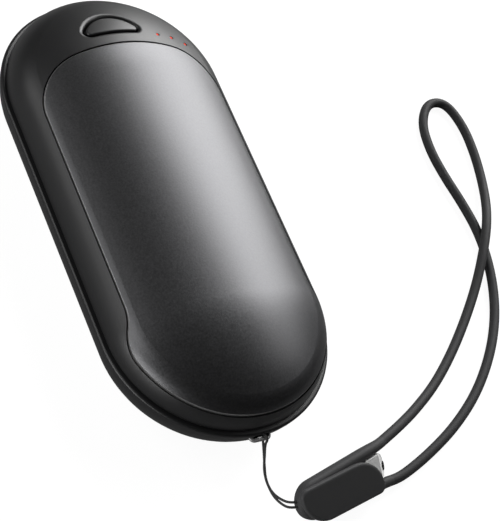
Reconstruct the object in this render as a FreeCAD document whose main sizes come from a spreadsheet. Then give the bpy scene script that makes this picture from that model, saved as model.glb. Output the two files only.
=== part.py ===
import FreeCAD, Part
import math
import os
import Sketcher

# Rechargeable hand warmer: a two-part case round two cells, a heated front plate, a button and a wrist lanyard.
# Millimetres. It lies on its back: +Z leaves the heated front, +Y points to the button end.

Vector = FreeCAD.Vector
doc = FreeCAD.newDocument("hand_warmer")
sheet = doc.addObject("Spreadsheet::Sheet", "sizes")

SIZES = {
    # Cells and the room round them, which set the size of the case
    "cell_diameter": 16.5,
    "cell_length": 65.0,
    "cell_gap": 0.4,
    "cell_nub_radius": 2.9,
    "cell_nub_height": 0.7,
    "cell_crimp_depth": 0.4,
    "cell_crimp_width": 1.0,
    "cell_crimp_inset": 2.6,
    "cell_edge": 0.8,
    "side_room": 8.3,
    "floor_gap": 0.25,
    "crown_room": 5.15,
    "lower_room": 12.8,
    "upper_room": 27.8,
    # Case walls and curves
    "back_wall": 1.8,
    "frame_wall": 2.6,
    "parting_height": 11.8,
    "back_radius": 12.5,
    "shoulder_radius": 8.0,
    "frame_step": 1.15,
    "rim_round": 0.6,
    "frame_edge_round": 0.25,
    "lip_height": 1.5,
    "lip_clearance": 0.3,
    # Heated plate, its seat and what lies under it
    "plate_thickness": 1.0,
    "adhesive_thickness": 0.1,
    "plate_groove": 0.3,
    "plate_edge_round": 0.3,
    "ledge_width": 2.2,
    "forehead": 19.1,
    "plate_top_radius": 59.9,
    "plate_corner_radius": 11.7,
    "plate_side_margin": 3.25,
    "plate_hip_margin": 1.87,
    "plate_end_margin": 1.25,
    "plate_hip_radius": 10.1,
    "plate_bend_radius": 13.6,
    "adhesive_inset": 0.3,
    "film_gap": 0.05,
    "film_thickness": 0.2,
    "film_inset": 0.5,
    "pad_gap": 0.1,
    "pad_thickness": 0.4,
    "pad_half_width": 16.6,
    "pad_inset": 0.5,
    "sensor_length": 2.4,
    "sensor_width": 1.4,
    "sensor_height": 0.5,
    "sensor_clearance": 0.8,
    # Button
    "button_offset": 0.75,
    "button_inset": 17.7,
    "button_radius": 7.0,
    "button_margin": 3.15,
    "button_corner": 1.3,
    "button_gap": 0.42,
    "button_rim_round": 0.8,
    "button_edge_round": 0.4,
    "button_flange": 0.75,
    "flange_thickness": 1.0,
    "flange_clearance": 0.05,
    "collar_wall": 1.9,
    "collar_height": 5.7,
    "collar_depth": 0.5,
    "stem_radius": 1.6,
    # Switch under the button
    "switch_inset": 13.8,
    "switch_side": 6.0,
    "switch_base_height": 2.6,
    "switch_pocket_radius": 2.2,
    "switch_pocket_depth": 1.4,
    "switch_cover_thickness": 0.25,
    "dome_radius": 2.1,
    "dome_rise": 0.7,
    "dome_thickness": 0.1,
    "plunger_radius": 1.65,
    "plunger_flange_radius": 2.0,
    "plunger_flange_height": 0.5,
    "plunger_play": 0.1,
    "plunger_clearance": 0.1,
    "stem_clearance": 0.05,
    "plunger_height": 3.7,
    # Indicator lights
    "light_margin": 3.2,
    "light_button_gap": 3.27,
    "light_pitch": 3.45,
    "window_radius": 0.45,
    "window_fit": 0.02,
    "window_depth": 0.15,
    "guide_radius": 0.9,
    "guide_gap": 0.3,
    "guide_rail_height": 3.0,
    "guide_rail_thickness": 1.2,
    "guide_rail_width": 1.2,
    "led_length": 1.6,
    "led_width": 1.0,
    "led_height": 0.7,
    "led_gap": 0.2,
    # Board and socket
    "board_drop": 1.0,
    "board_thickness": 1.2,
    "board_half_width": 17.4,
    "board_radius": 20.6,
    "board_start": 19.5,
    "board_hole_radius": 1.1,
    "board_boss_radius": 2.2,
    "board_screw_reach": 11.5,
    "board_screw_margin": 1.94,
    "board_corner_reach": 14.5,
    "board_corner_inset": 17.3,
    "socket_width": 8.94,
    "socket_height": 3.2,
    "socket_length": 7.3,
    "socket_corner": 1.2,
    "socket_wall": 0.3,
    "socket_inset": 1.5,
    "socket_clearance": 0.25,
    "tongue_width": 6.7,
    "tongue_thickness": 0.7,
    "tongue_length": 4.6,
    "tongue_base": 1.5,
    "tongue_fit": 0.05,
    # Parts on the board
    "chip_side": 4.0,
    "chip_height": 0.9,
    "chip_inset": 11.3,
    "chip_screw_gap": 0.8,
    "inductor_side": 5.0,
    "inductor_height": 2.8,
    "inductor_offset": 8.6,
    "inductor_inset": 15.5,
    "mosfet_length": 3.0,
    "mosfet_width": 2.6,
    "mosfet_height": 0.9,
    "mosfet_offset": 5.5,
    "mosfet_inset": 7.2,
    "passive_length": 1.6,
    "passive_width": 0.8,
    "passive_height": 0.8,
    "passive_row_start": 4.6,
    "passive_row_pitch": 2.0,
    "passive_row_inset": 7.4,
    "passive_light_gap": 3.5,
    "passive_pair_inset": 14.4,
    "passive_pair_pitch": 1.6,
    # Screws
    "screw_radius": 1.0,
    "screw_fit": 0.025,
    "screw_head_radius": 1.9,
    "screw_head_height": 1.2,
    "screw_recess": 0.9,
    "screw_hole_radius": 1.15,
    "counterbore_radius": 2.15,
    "lug_radius": 3.0,
    "lug_floor": 3.2,
    "boss_radius": 2.6,
    "case_screw_depth": 6.0,
    "board_screw_depth": 4.0,
    "screw_tip_room": 0.4,
    "upper_screw_reach": 9.0,
    "upper_screw_margin": 3.7,
    "lower_screw_reach": 8.2,
    "lower_screw_inset": 7.6,
    # Cell cradle and strips
    "cradle_wall": 1.3,
    "cradle_gap": 0.5,
    "cradle_clearance": 0.3,
    "cradle_rail": 1.4,
    "cradle_rail_bottom": 6.0,
    "cradle_half_width": 18.4,
    "spine_half_width": 2.2,
    "spine_height": 1.5,
    "strip_thickness": 0.2,
    "strip_half_width": 13.0,
    "strip_half_height": 3.0,
    "strip_tab_half_width": 1.5,
    "strip_tab_height": 5.2,
    # Lanyard bail and its recess
    "bail_drop": 1.8,
    "bail_offset": 0.6,
    "bail_reach": 0.6,
    "bail_half_width": 2.1,
    "bail_radius": 0.4,
    "bail_bend": 0.8,
    "bail_fit": 0.02,
    "bail_leg": 2.2,
    "bail_recess_half_width": 1.6,
    "bail_recess_depth": 0.8,
    "bail_recess_above": 1.3,
    "bail_recess_below": 1.6,
    # Bead of the wrist strap, in its own frame
    "pod_bend_radius": 4.05,
    "pod_left": 10.2,
    "pod_splay": 3.5,
    "pod_arm_end": 8.0,
    "pod_height": 3.0,
    "pod_round": 1.1,
    "pod_slot_radius": 1.7,
    "pod_taper_length": 4.0,
    "pod_taper_overlap": 0.5,
    "pod_pad_half_width": 4.08,
    "pod_pad_wide_radius": 6.5,
    "pod_pad_lean": 4.8,
    "pod_pad_run": 4.07,
    "pod_pad_shift": 0.05,
    "pod_pad_drop": 0.54,
    "pod_pad_height": 1.1,
    "pod_pad_round": 0.55,
    "pod_groove_height": 0.4,
    "pod_groove_depth": 0.6,
    "core_clearance": 0.05,
    "core_end": 13.9,
    "core_slant": 40.5,
    "core_slant_start": 11.2,
    "core_hole_radius": 0.85,
    "core_hole_drop": 0.45,
    "pod_yaw": 11.5,
    "pod_tilt": 35.0,
    # Cords
    "strap_radius": 1.1,
    "tether_radius": 0.26,
    "power_lead_radius": 0.6,
    "heater_lead_radius": 0.45,
    "lead_joint_gap": 0.05,
    "lead_run": 3.0,
    "lead_arch": 2.0,
    "power_lead_spread": 4.8,
    "heater_lead_spread": 2.9,
    "board_lead_inset": 1.7,
    "strip_lead_rise": 2.2,
    "valley_lead_rise": 4.2,
    "film_tail_inset": 4.2,
    "film_tail_gap": 0.2,
}


class Size:
    """A length that keeps its number and the sheet expression that gives it."""

    def __init__(self, value, text):
        self.value = float(value)
        self.text = text

    def __add__(self, other):
        other = as_size(other)
        return Size(self.value + other.value, f"({self.text} + {other.text})")

    def __sub__(self, other):
        other = as_size(other)
        return Size(self.value - other.value, f"({self.text} - {other.text})")

    def __mul__(self, other):
        other = as_size(other)
        return Size(self.value * other.value, f"({self.text} * {other.text})")

    def __truediv__(self, other):
        other = as_size(other)
        return Size(self.value / other.value, f"({self.text} / {other.text})")

    def __neg__(self):
        return Size(-self.value, f"(0 - {self.text})")

    __radd__ = __add__
    __rmul__ = __mul__


def as_size(number):
    return number if isinstance(number, Size) else Size(number, f"{number:g}")


def root(size):
    return Size(math.sqrt(size.value), f"sqrt({size.text})")


def sine(angle):
    return Size(math.sin(math.radians(angle.value)), f"sin({angle.text} * 1deg)")


def cosine(angle):
    return Size(math.cos(math.radians(angle.value)), f"cos({angle.text} * 1deg)")


cell_rows = iter(range(1, 10000))


def put_cell(alias, content):
    """Writes one named row of the sheet."""
    row = next(cell_rows)
    sheet.set(f"A{row}", alias)
    sheet.set(f"B{row}", content)
    sheet.setAlias(f"B{row}", alias)


def derived(alias, size):
    """Keeps a worked-out size in a sheet cell of its own and returns it by that name."""
    put_cell(alias, f"={size.text.replace('sizes.', '')}")
    return Size(size.value, f"sizes.{alias}")


for alias, number in SIZES.items():
    put_cell(alias, f"{number:g}")
S = {alias: Size(number, f"sizes.{alias}") for alias, number in SIZES.items()}

# Sizes worked out from the sheet
half_width = derived("half_width", S["cell_diameter"] + S["cell_gap"] / 2 + S["side_room"])
half_length = derived("half_length", (S["lower_room"] + S["cell_length"] + S["upper_room"]) / 2)
end_centre = derived("end_centre", half_length - half_width)
case_height = derived(
    "case_height", S["back_wall"] + S["floor_gap"] + S["cell_diameter"] + S["crown_room"])
parting = S["parting_height"]
frame_half = derived("frame_half", half_width - S["frame_step"])
shoulder = S["shoulder_radius"]
shoulder_centre = derived("shoulder_centre", frame_half - shoulder)
frame_rise = derived("frame_rise", case_height - parting)
crown_radius = derived("crown_radius", (frame_rise * frame_rise + shoulder_centre * shoulder_centre
                                        - shoulder * shoulder) / ((frame_rise - shoulder) * 2))
crown_centre = derived("crown_centre", case_height - crown_radius)
seat_depth = derived("seat_depth", S["plate_thickness"] + S["adhesive_thickness"])

plate_top = derived("plate_top", half_length - S["forehead"])
plate_side = derived("plate_side", frame_half - S["plate_side_margin"])
plate_hip = derived("plate_hip", frame_half - S["plate_hip_margin"])
plate_end = derived("plate_end", frame_half - S["plate_end_margin"])
top_centre = derived("top_centre", plate_top - S["plate_top_radius"])
corner_x = derived("corner_x", plate_side - S["plate_corner_radius"])
corner_reach = derived("corner_reach", S["plate_top_radius"] - S["plate_corner_radius"])
corner_y = derived("corner_y", top_centre + root(corner_reach * corner_reach - corner_x * corner_x))
hip_x = derived("hip_x", plate_hip - S["plate_hip_radius"])
hip_reach = derived("hip_reach", plate_end - S["plate_hip_radius"])
hip_y = derived("hip_y", -end_centre - root(hip_reach * hip_reach - hip_x * hip_x))
bend_x = derived("bend_x", plate_side + S["plate_bend_radius"])
bend_reach = derived("bend_reach", S["plate_bend_radius"] + S["plate_hip_radius"])
bend_run = derived("bend_run", bend_x - hip_x)
bend_y = derived("bend_y", hip_y + root(bend_reach * bend_reach - bend_run * bend_run))

cell_radius = derived("cell_radius", S["cell_diameter"] / 2)
cell_x = derived("cell_x", cell_radius + S["cell_gap"] / 2)
cell_z = derived("cell_z", S["back_wall"] + S["floor_gap"] + cell_radius)
cell_start = derived("cell_start", S["lower_room"] - half_length)
cell_end = derived("cell_end", cell_start + S["cell_length"])

board_bottom = derived("board_bottom", parting - S["board_drop"])
board_top = derived("board_top", board_bottom + S["board_thickness"])
board_edge = derived("board_edge", half_length - S["board_start"])
button_x = derived("button_x", -S["button_offset"])
button_y = derived("button_y", half_length - S["button_inset"])
switch_y = derived("switch_y", half_length - S["switch_inset"])
collar_bottom = derived("collar_bottom", parting + S["collar_height"])
flange_top = derived("flange_top", collar_bottom - S["flange_clearance"])
flange_bottom = derived("flange_bottom", flange_top - S["flange_thickness"])
plunger_top = derived("plunger_top", board_top + S["plunger_height"])
screw_seat = derived("screw_seat", parting + S["lug_floor"])
socket_front = derived("socket_front", half_length - S["socket_inset"])
bail_z = derived("bail_z", parting - S["bail_drop"])
doc.recompute()


class Outline:
    """A closed outline of lines and arcs, each corner placed by two sizes."""

    def __init__(self, x, y):
        self.corners = [(as_size(x), as_size(y))]
        self.edges = []

    def line(self, x, y):
        self.corners.append((as_size(x), as_size(y)))
        self.edges.append(None)
        return self

    def arc(self, x, y, centre_x, centre_y, radius, turn):
        """Turn is 1 for an arc run anticlockwise and -1 for a clockwise one."""
        self.corners.append((as_size(x), as_size(y)))
        self.edges.append((as_size(centre_x), as_size(centre_y), as_size(radius), turn))
        return self

    def close(self, arc=None):
        """Joins the last corner to the first, by a line or by an arc's centre, radius and turn."""
        if arc:
            centre_x, centre_y, radius, turn = arc
            self.edges.append((as_size(centre_x), as_size(centre_y), as_size(radius), turn))
        else:
            self.edges.append(None)
        return self


class Ring:
    """A full circle placed by its centre and radius."""

    def __init__(self, x, y, radius):
        self.x = as_size(x)
        self.y = as_size(y)
        self.radius = as_size(radius)


def bind(thing, name, size):
    thing.setExpression(name, as_size(size).text)


def place_point(sketch, edge, end, x, y):
    """Fixes one end of an edge at two sizes from the sketch's origin."""
    for kind, size in (("DistanceX", x), ("DistanceY", y)):
        number = sketch.addConstraint(Sketcher.Constraint(kind, -1, 1, edge, end, size.value))
        bind(sketch, f"Constraints[{number}]", size)


def bind_radius(sketch, edge, radius):
    number = sketch.addConstraint(Sketcher.Constraint("Radius", edge, radius.value))
    bind(sketch, f"Constraints[{number}]", radius)


def bind_bulge(sketch, edge, arc, start, finish):
    """Fixes how far an arc bulges: by its radius, or for a half circle by its centre beside the chord."""
    centre_x, centre_y, radius, _ = arc
    across = abs(finish[0].value - start[0].value)
    upward = abs(finish[1].value - start[1].value)
    if math.hypot(across, upward) < 1.98 * radius.value:
        bind_radius(sketch, edge, radius)
        return
    kind, size = ("DistanceY", centre_y) if across > upward else ("DistanceX", centre_x)
    number = sketch.addConstraint(Sketcher.Constraint(kind, -1, 1, edge, 3, size.value))
    bind(sketch, f"Constraints[{number}]", size)


def draw_ring(sketch, ring):
    circle = Part.Circle(Vector(ring.x.value, ring.y.value, 0), Vector(0, 0, 1), ring.radius.value)
    edge = sketch.addGeometry(circle)
    place_point(sketch, edge, 3, ring.x, ring.y)
    bind_radius(sketch, edge, ring.radius)


def draw_outline(sketch, outline):
    """Adds an outline's edges, joins them end to end and fixes every corner and radius."""
    count = len(outline.edges)
    ends = []
    for index, arc in enumerate(outline.edges):
        x0, y0 = outline.corners[index]
        x1, y1 = outline.corners[(index + 1) % count]
        if arc is None:
            edge = sketch.addGeometry(
                Part.LineSegment(Vector(x0.value, y0.value, 0), Vector(x1.value, y1.value, 0)))
            ends.append((edge, 1, 2))
            continue
        centre_x, centre_y, radius, turn = arc
        first = math.atan2(y0.value - centre_y.value, x0.value - centre_x.value)
        last = math.atan2(y1.value - centre_y.value, x1.value - centre_x.value)
        circle = Part.Circle(Vector(centre_x.value, centre_y.value, 0), Vector(0, 0, 1), radius.value)
        span = (first, last) if turn > 0 else (last, first)
        edge = sketch.addGeometry(Part.ArcOfCircle(circle, *span))
        ends.append((edge, 1, 2) if turn > 0 else (edge, 2, 1))
    for index, (edge, start, finish) in enumerate(ends):
        following, following_start, _ = ends[(index + 1) % count]
        sketch.addConstraint(Sketcher.Constraint("Coincident", edge, finish, following, following_start))
        place_point(sketch, edge, start, *outline.corners[index])
        if outline.edges[index]:
            bind_bulge(sketch, edge, outline.edges[index], outline.corners[index],
                       outline.corners[(index + 1) % count])


def sketch_in(body, name, role, shapes, lift=0):
    """Draws outlines and rings on one of the body's origin planes, lifted along its normal."""
    sketch = body.newObject("Sketcher::SketchObject", name)
    plane = [feature for feature in body.Origin.OriginFeatures if feature.Role == role][0]
    sketch.AttachmentSupport = (plane, [""])
    sketch.MapMode = "FlatFace"
    bind(sketch, "AttachmentOffset.Base.z", lift)
    for shape in shapes:
        if isinstance(shape, Ring):
            draw_ring(sketch, shape)
        else:
            draw_outline(sketch, shape)
    return sketch


def new_body(name):
    return doc.addObject("PartDesign::Body", name)


def pad(body, name, sketch, length, symmetric=False):
    feature = body.newObject("PartDesign::Pad", name)
    feature.Profile = sketch
    feature.SideType = "Symmetric" if symmetric else "One side"
    bind(feature, "Length", length)
    return feature


def half_turn(body, name, sketch, backwards):
    """Revolves a half section through a half circle about its own upright axis."""
    feature = body.newObject("PartDesign::Revolution", name)
    feature.Profile = sketch
    feature.ReferenceAxis = (sketch, ["V_Axis"])
    feature.Angle = 180
    feature.Reversed = backwards
    return feature


def prism(name, shapes, bottom, top):
    """An upright block with the given outlines."""
    body = new_body(name)
    pad(body, f"{name}_pad", sketch_in(body, f"{name}_outline", "XY_Plane", shapes, bottom), top - bottom)
    return body


def box(name, x0, x1, y0, y1, z0, z1):
    block = doc.addObject("Part::Box", name)
    for side, low, high, axis in (("Length", x0, x1, "x"), ("Width", y0, y1, "y"), ("Height", z0, z1, "z")):
        bind(block, side, as_size(high) - low)
        bind(block, f"Placement.Base.{axis}", low)
    return block


def rod(name, x, y, z0, z1, radius):
    """An upright cylinder."""
    cylinder = doc.addObject("Part::Cylinder", name)
    bind(cylinder, "Radius", radius)
    bind(cylinder, "Height", as_size(z1) - z0)
    for axis, size in (("x", x), ("y", y), ("z", z0)):
        bind(cylinder, f"Placement.Base.{axis}", size)
    return cylinder


def fused(name, things):
    union = doc.addObject("Part::MultiFuse", name)
    union.Shapes = list(things)
    union.Refine = True
    return union


def shared(name, first, second):
    common = doc.addObject("Part::Common", name)
    common.Base = first
    common.Tool = second
    return common


def less(name, base, tool):
    cut = doc.addObject("Part::Cut", name)
    cut.Base = base
    cut.Tool = tool
    return cut


def rounded(name, base, radius, chosen):
    """Rounds the edges of a shape that the test picks."""
    doc.recompute()
    fillet = doc.addObject("Part::Fillet", name)
    fillet.Base = base
    fillet.Edges = [(number, radius.value, radius.value)
                    for number, edge in enumerate(base.Shape.Edges, 1) if chosen(edge)]
    return fillet


def level_edge(height):
    """A test for edges that lie flat at a height."""
    def chosen(edge):
        box_of_edge = edge.BoundBox
        return abs(box_of_edge.ZMin - height.value) < 1e-4 and abs(box_of_edge.ZMax - height.value) < 1e-4
    return chosen


def seam_edge(first, second):
    """A test for edges that lie on the surfaces of two shapes at once."""
    doc.recompute()
    surfaces = [first.Shape.Shells[0], second.Shape.Shells[0]]

    def chosen(edge):
        middle = Part.Vertex(edge.valueAt((edge.FirstParameter + edge.LastParameter) / 2))
        return all(surface.distToShape(middle)[0] < 1e-4 for surface in surfaces)
    return chosen


nodes = {}


def node(thing, label):
    thing.Label = label
    nodes[label] = thing
    return thing


# Case envelopes: a section swept along the straight middle and turned round both ends
def stadium(name, half_section, whole_section):
    body = new_body(name)
    middle = sketch_in(body, f"{name}_section", "XZ_Plane", [whole_section])
    pad(body, f"{name}_middle", middle, end_centre * 2, symmetric=True)
    for side, lift, backwards in (("upper", -end_centre, False), ("lower", end_centre, True)):
        end = sketch_in(body, f"{name}_{side}_section", "XZ_Plane", [half_section], lift)
        half_turn(body, f"{name}_{side}_end", end, backwards)
    return body


def upper_envelope(name, depth):
    """The front half of the case, sunk below its outer skin by a depth."""
    depth = as_size(depth)
    half = frame_half - depth
    small = shoulder - depth
    large = crown_radius - depth
    share = large / (crown_radius - shoulder)
    tangent_x = shoulder_centre * share
    tangent_z = crown_centre + (parting - crown_centre) * share
    crest = case_height - depth
    half_section = Outline(0, parting).line(half, parting)
    half_section.arc(tangent_x, tangent_z, shoulder_centre, parting, small, 1)
    half_section.arc(0, crest, 0, crown_centre, large, 1).close()
    whole = Outline(-half, parting).line(half, parting)
    whole.arc(tangent_x, tangent_z, shoulder_centre, parting, small, 1)
    whole.arc(-tangent_x, tangent_z, 0, crown_centre, large, 1)
    whole.close((-shoulder_centre, parting, small, 1))
    return stadium(name, half_section, whole)


def back_reach(depth, height):
    """How far out the back's rounded side lies at a height, sunk below its skin by a depth."""
    small = S["back_radius"] - depth
    drop = S["back_radius"] - height
    return half_width - S["back_radius"] + root(small * small - drop * drop)


def lower_envelope(name, depth):
    """The back half of the case, sunk below its outer skin by a depth."""
    depth = as_size(depth)
    flat = half_width - S["back_radius"]
    small = S["back_radius"] - depth
    rim = back_reach(depth, parting)
    half_section = Outline(0, depth).line(flat, depth)
    half_section.arc(rim, parting, flat, S["back_radius"], small, 1).line(0, parting).close()
    whole = Outline(-flat, depth).line(flat, depth)
    whole.arc(rim, parting, flat, S["back_radius"], small, 1).line(-rim, parting)
    whole.close((-flat, S["back_radius"], small, 1))
    return stadium(name, half_section, whole)


def stadium_outline(radius):
    outline = Outline(-radius, -end_centre).arc(radius, -end_centre, 0, -end_centre, radius, 1)
    outline.line(radius, end_centre).arc(-radius, end_centre, 0, end_centre, radius, 1)
    return outline.close()


def plate_outline(grow):
    """The heated plate seen from above, grown outwards by a size: arched top, straight sides, hips, round end."""
    grow = as_size(grow)
    top_radius = S["plate_top_radius"] + grow
    corner_radius = S["plate_corner_radius"] + grow
    bend_radius = S["plate_bend_radius"] - grow
    hip_radius = S["plate_hip_radius"] + grow
    end_radius = plate_end + grow
    top_x = corner_x * top_radius / corner_reach
    top_y = top_centre + (corner_y - top_centre) * top_radius / corner_reach
    side = plate_side + grow
    turn_x = bend_x - bend_run * bend_radius / bend_reach
    turn_y = bend_y + (hip_y - bend_y) * bend_radius / bend_reach
    low_x = hip_x * end_radius / hip_reach
    low_y = (hip_y + end_centre) * end_radius / hip_reach - end_centre
    outline = Outline(-top_x, top_y).arc(top_x, top_y, 0, top_centre, top_radius, -1)
    outline.arc(side, corner_y, corner_x, corner_y, corner_radius, -1).line(side, bend_y)
    outline.arc(turn_x, turn_y, bend_x, bend_y, bend_radius, 1)
    outline.arc(low_x, low_y, hip_x, hip_y, hip_radius, -1)
    outline.arc(-low_x, low_y, 0, -end_centre, end_radius, -1)
    outline.arc(-turn_x, turn_y, -hip_x, hip_y, hip_radius, -1)
    outline.arc(-side, bend_y, -bend_x, bend_y, bend_radius, 1).line(-side, corner_y)
    return outline.close((-corner_x, corner_y, corner_radius, -1))


def button_outline(grow):
    """The half-moon button opening, grown outwards: round above, following the plate's arch below."""
    grow = as_size(grow)
    round_radius = S["button_radius"] + grow
    arch_radius = S["plate_top_radius"] + S["button_margin"] - grow
    corner = S["button_corner"] + grow
    from_round = S["button_radius"] - S["button_corner"]
    from_arch = S["plate_top_radius"] + S["button_margin"] + S["button_corner"]
    rise = button_y - top_centre
    span = root(button_x * button_x + rise * rise)
    along = (from_arch * from_arch - from_round * from_round + span * span) / (span * 2)
    across = root(from_arch * from_arch - along * along)
    corners = []
    for side in (-1, 1):
        x = (button_x * along + rise * across * side) / span
        y = top_centre + (rise * along - button_x * across * side) / span
        on_round_x = button_x + (x - button_x) * round_radius / from_round
        on_round_y = button_y + (y - button_y) * round_radius / from_round
        on_arch_x = x * arch_radius / from_arch
        on_arch_y = top_centre + (y - top_centre) * arch_radius / from_arch
        corners.append((x, y, on_round_x, on_round_y, on_arch_x, on_arch_y))
    left, right = corners
    outline = Outline(left[2], left[3]).arc(right[2], right[3], button_x, button_y, round_radius, -1)
    outline.arc(right[4], right[5], right[0], right[1], corner, -1)
    outline.arc(left[4], left[5], 0, top_centre, arch_radius, 1)
    return outline.close((left[0], left[1], corner, -1))


def rounded_rectangle(x, y, width, height, corner):
    """A rectangle with round corners about a centre."""
    right = as_size(x) + width / 2
    left = as_size(x) - width / 2
    top = y + height / 2
    bottom = y - height / 2
    outline = Outline(left + corner, bottom).line(right - corner, bottom)
    outline.arc(right, bottom + corner, right - corner, bottom + corner, corner, 1).line(right, top - corner)
    outline.arc(right - corner, top, right - corner, top - corner, corner, 1).line(left + corner, top)
    outline.arc(left, top - corner, left + corner, top - corner, corner, 1).line(left, bottom + corner)
    return outline.close((left + corner, bottom + corner, corner, 1))


above = case_height + 1

# Places of the screws: two case screws near the button, two near the lanyard, three in the board
case_screws = []
for side in (-1, 1):
    case_screws.append((S["upper_screw_reach"] * side, plate_top - S["upper_screw_margin"]))
    case_screws.append((S["lower_screw_reach"] * side, S["lower_screw_inset"] - half_length))
board_screw_arc = S["board_radius"] - S["board_screw_margin"]
board_screw_y = derived("board_screw_y", end_centre + root(
    board_screw_arc * board_screw_arc - S["board_screw_reach"] * S["board_screw_reach"]))
board_screws = [(S["board_screw_reach"] * side, board_screw_y) for side in (-1, 1)]
board_screws.append((-S["board_corner_reach"], half_length - S["board_corner_inset"]))

# Places of the three indicator lights: round the plate's right upper corner, the first one beside the button
light_reach = derived("light_reach", S["plate_corner_radius"] + S["light_margin"])
half_sine = derived("light_half_sine", S["light_pitch"] / (light_reach * 2))
turn_sine = derived("light_turn_sine", half_sine * root(as_size(1) - half_sine * half_sine) * 2)
turn_cosine = derived("light_turn_cosine", as_size(1) - half_sine * half_sine * 2)
sine_here = (button_x + S["button_radius"] + S["light_button_gap"] - corner_x) / light_reach
cosine_here = root(as_size(1) - sine_here * sine_here)
light_turns = []
for index in range(3):
    sine_here = derived(f"light_sine_{index}", sine_here)
    cosine_here = derived(f"light_cosine_{index}", cosine_here)
    light_turns.append((sine_here, cosine_here))
    sine_here, cosine_here = (sine_here * turn_cosine + cosine_here * turn_sine,
                              cosine_here * turn_cosine - sine_here * turn_sine)


def round_corner(reach, turn):
    """A place round the plate's corner, at a reach and a turn from straight up the case."""
    turned_sine, turned_cosine = turn
    return corner_x + reach * turned_sine, corner_y + reach * turned_cosine


lights = [round_corner(light_reach, turn) for turn in light_turns]


# Charging socket
def socket_outline(grow):
    """The socket's outer outline seen from its open end, grown by a size."""
    grow = as_size(grow)
    middle = board_bottom - S["socket_height"] / 2
    return rounded_rectangle(0, middle, S["socket_width"] + grow * 2, S["socket_height"] + grow * 2,
                             S["socket_corner"] + grow)


def along_case(name, shapes, y0, y1):
    """A block with outlines in the upright cross plane, run along the case from one place to another."""
    body = new_body(name)
    sketch = sketch_in(body, f"{name}_outline", "XZ_Plane", shapes, -y1)
    pad(body, f"{name}_pad", sketch, as_size(y1) - y0)
    return body


socket_back = socket_front - S["socket_length"]
inner_grow = -S["socket_wall"]
port_cutter = along_case("port_cutter", [socket_outline(S["socket_clearance"])],
                         socket_back - S["socket_clearance"], half_length + 1)
node(along_case("usb_socket_ring", [socket_outline(0), socket_outline(inner_grow)], socket_back, socket_front),
     "usb_socket_shell")
tongue_middle = board_bottom - S["socket_height"] / 2
tongue_block = along_case("tongue_block", [socket_outline(inner_grow - S["tongue_fit"])],
                          socket_back, socket_back + S["tongue_base"])
tongue_blade = box("tongue_blade", -S["tongue_width"] / 2, S["tongue_width"] / 2,
                   socket_back + S["tongue_base"], socket_back + S["tongue_base"] + S["tongue_length"],
                   tongue_middle - S["tongue_thickness"] / 2, tongue_middle + S["tongue_thickness"] / 2)
node(fused("usb_tongue_joined", [tongue_block, tongue_blade]), "usb_tongue")

# Back shell: hollow tub with screw bosses, the port and the lanyard recess
back_skin = lower_envelope("back_skin", 0)
back_rim = rounded("back_rim", back_skin, S["rim_round"], level_edge(parting))
back_inside = lower_envelope("back_inside", S["back_wall"])
back_middle = lower_envelope("back_middle", S["back_wall"] / 2)
back_tub = less("back_tub", back_rim, back_inside)
boss_rods = [rod(f"case_boss_{i}", x, y, 0, parting, S["boss_radius"]) for i, (x, y) in enumerate(case_screws)]
boss_rods += [rod(f"board_boss_{i}", x, y, 0, board_bottom, S["board_boss_radius"])
              for i, (x, y) in enumerate(board_screws)]
back_bosses = shared("back_bosses", fused("boss_rods", boss_rods), back_middle)
back_solid = fused("back_solid", [back_tub, back_bosses])
pilot_radius = S["screw_radius"] + S["screw_fit"]
pilots = [rod(f"case_pilot_{i}", x, y, parting - S["case_screw_depth"] - S["screw_tip_room"], above, pilot_radius)
          for i, (x, y) in enumerate(case_screws)]
pilots += [rod(f"board_pilot_{i}", x, y, board_bottom - S["board_screw_depth"] - S["screw_tip_room"], above,
               pilot_radius) for i, (x, y) in enumerate(board_screws)]
end_face = -end_centre - back_reach(as_size(0), bail_z)
bail_y = end_face - S["bail_reach"]
leg_tip = bail_y + S["bail_leg"]
bail_recess = box("bail_recess", S["bail_offset"] - S["bail_recess_half_width"],
                  S["bail_offset"] + S["bail_recess_half_width"], bail_y, end_face + S["bail_recess_depth"],
                  bail_z - S["bail_recess_below"], bail_z + S["bail_recess_above"])
leg_outlines = [Ring(S["bail_offset"] + S["bail_half_width"] * side, bail_z, S["bail_radius"] + S["bail_fit"])
                for side in (-1, 1)]
leg_holes = along_case("leg_holes", leg_outlines, bail_y, leg_tip + 1)
back_cuts = fused("back_cuts", pilots + [port_cutter, bail_recess, leg_holes])
node(less("back_shell_cut", back_solid, back_cuts), "back_shell")

# Front frame: crowned cover with a seat for the plate, the button collar, light holes and hidden screw lugs
front_skin = upper_envelope("front_skin", 0)
front_edge = rounded("front_edge", front_skin, S["frame_edge_round"], level_edge(parting))
front_inside = upper_envelope("front_inside", S["frame_wall"])
seat_form = upper_envelope("seat_form", seat_depth)
front_cover = less("front_cover", front_edge, front_inside)
lip_bottom = parting - S["lip_height"]
lip_outer = back_reach(S["back_wall"], lip_bottom) - S["lip_clearance"]
lip_ring = prism("lip_ring", [stadium_outline(lip_outer), stadium_outline(frame_half - S["frame_wall"])],
                 lip_bottom, parting)
boss_rooms = fused("boss_rooms", [rod(f"boss_room_{i}", x, y, lip_bottom, parting,
                                      S["boss_radius"] + S["lip_clearance"]) for i, (x, y) in enumerate(case_screws)])
front_lip = less("front_lip", lip_ring, boss_rooms)
collar_block = prism("collar_block", [button_outline(S["collar_wall"])], collar_bottom, above)
collar_form = upper_envelope("collar_form", S["collar_depth"])
front_collar = shared("front_collar", collar_block, collar_form)
lug_rods = fused("lug_rods", [rod(f"lug_{i}", x, y, parting, above, S["lug_radius"])
                              for i, (x, y) in enumerate(case_screws)])
front_lugs = shared("front_lugs", lug_rods, seat_form)
front_solid = fused("front_solid", [front_cover, front_lip, front_collar, front_lugs])
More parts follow.
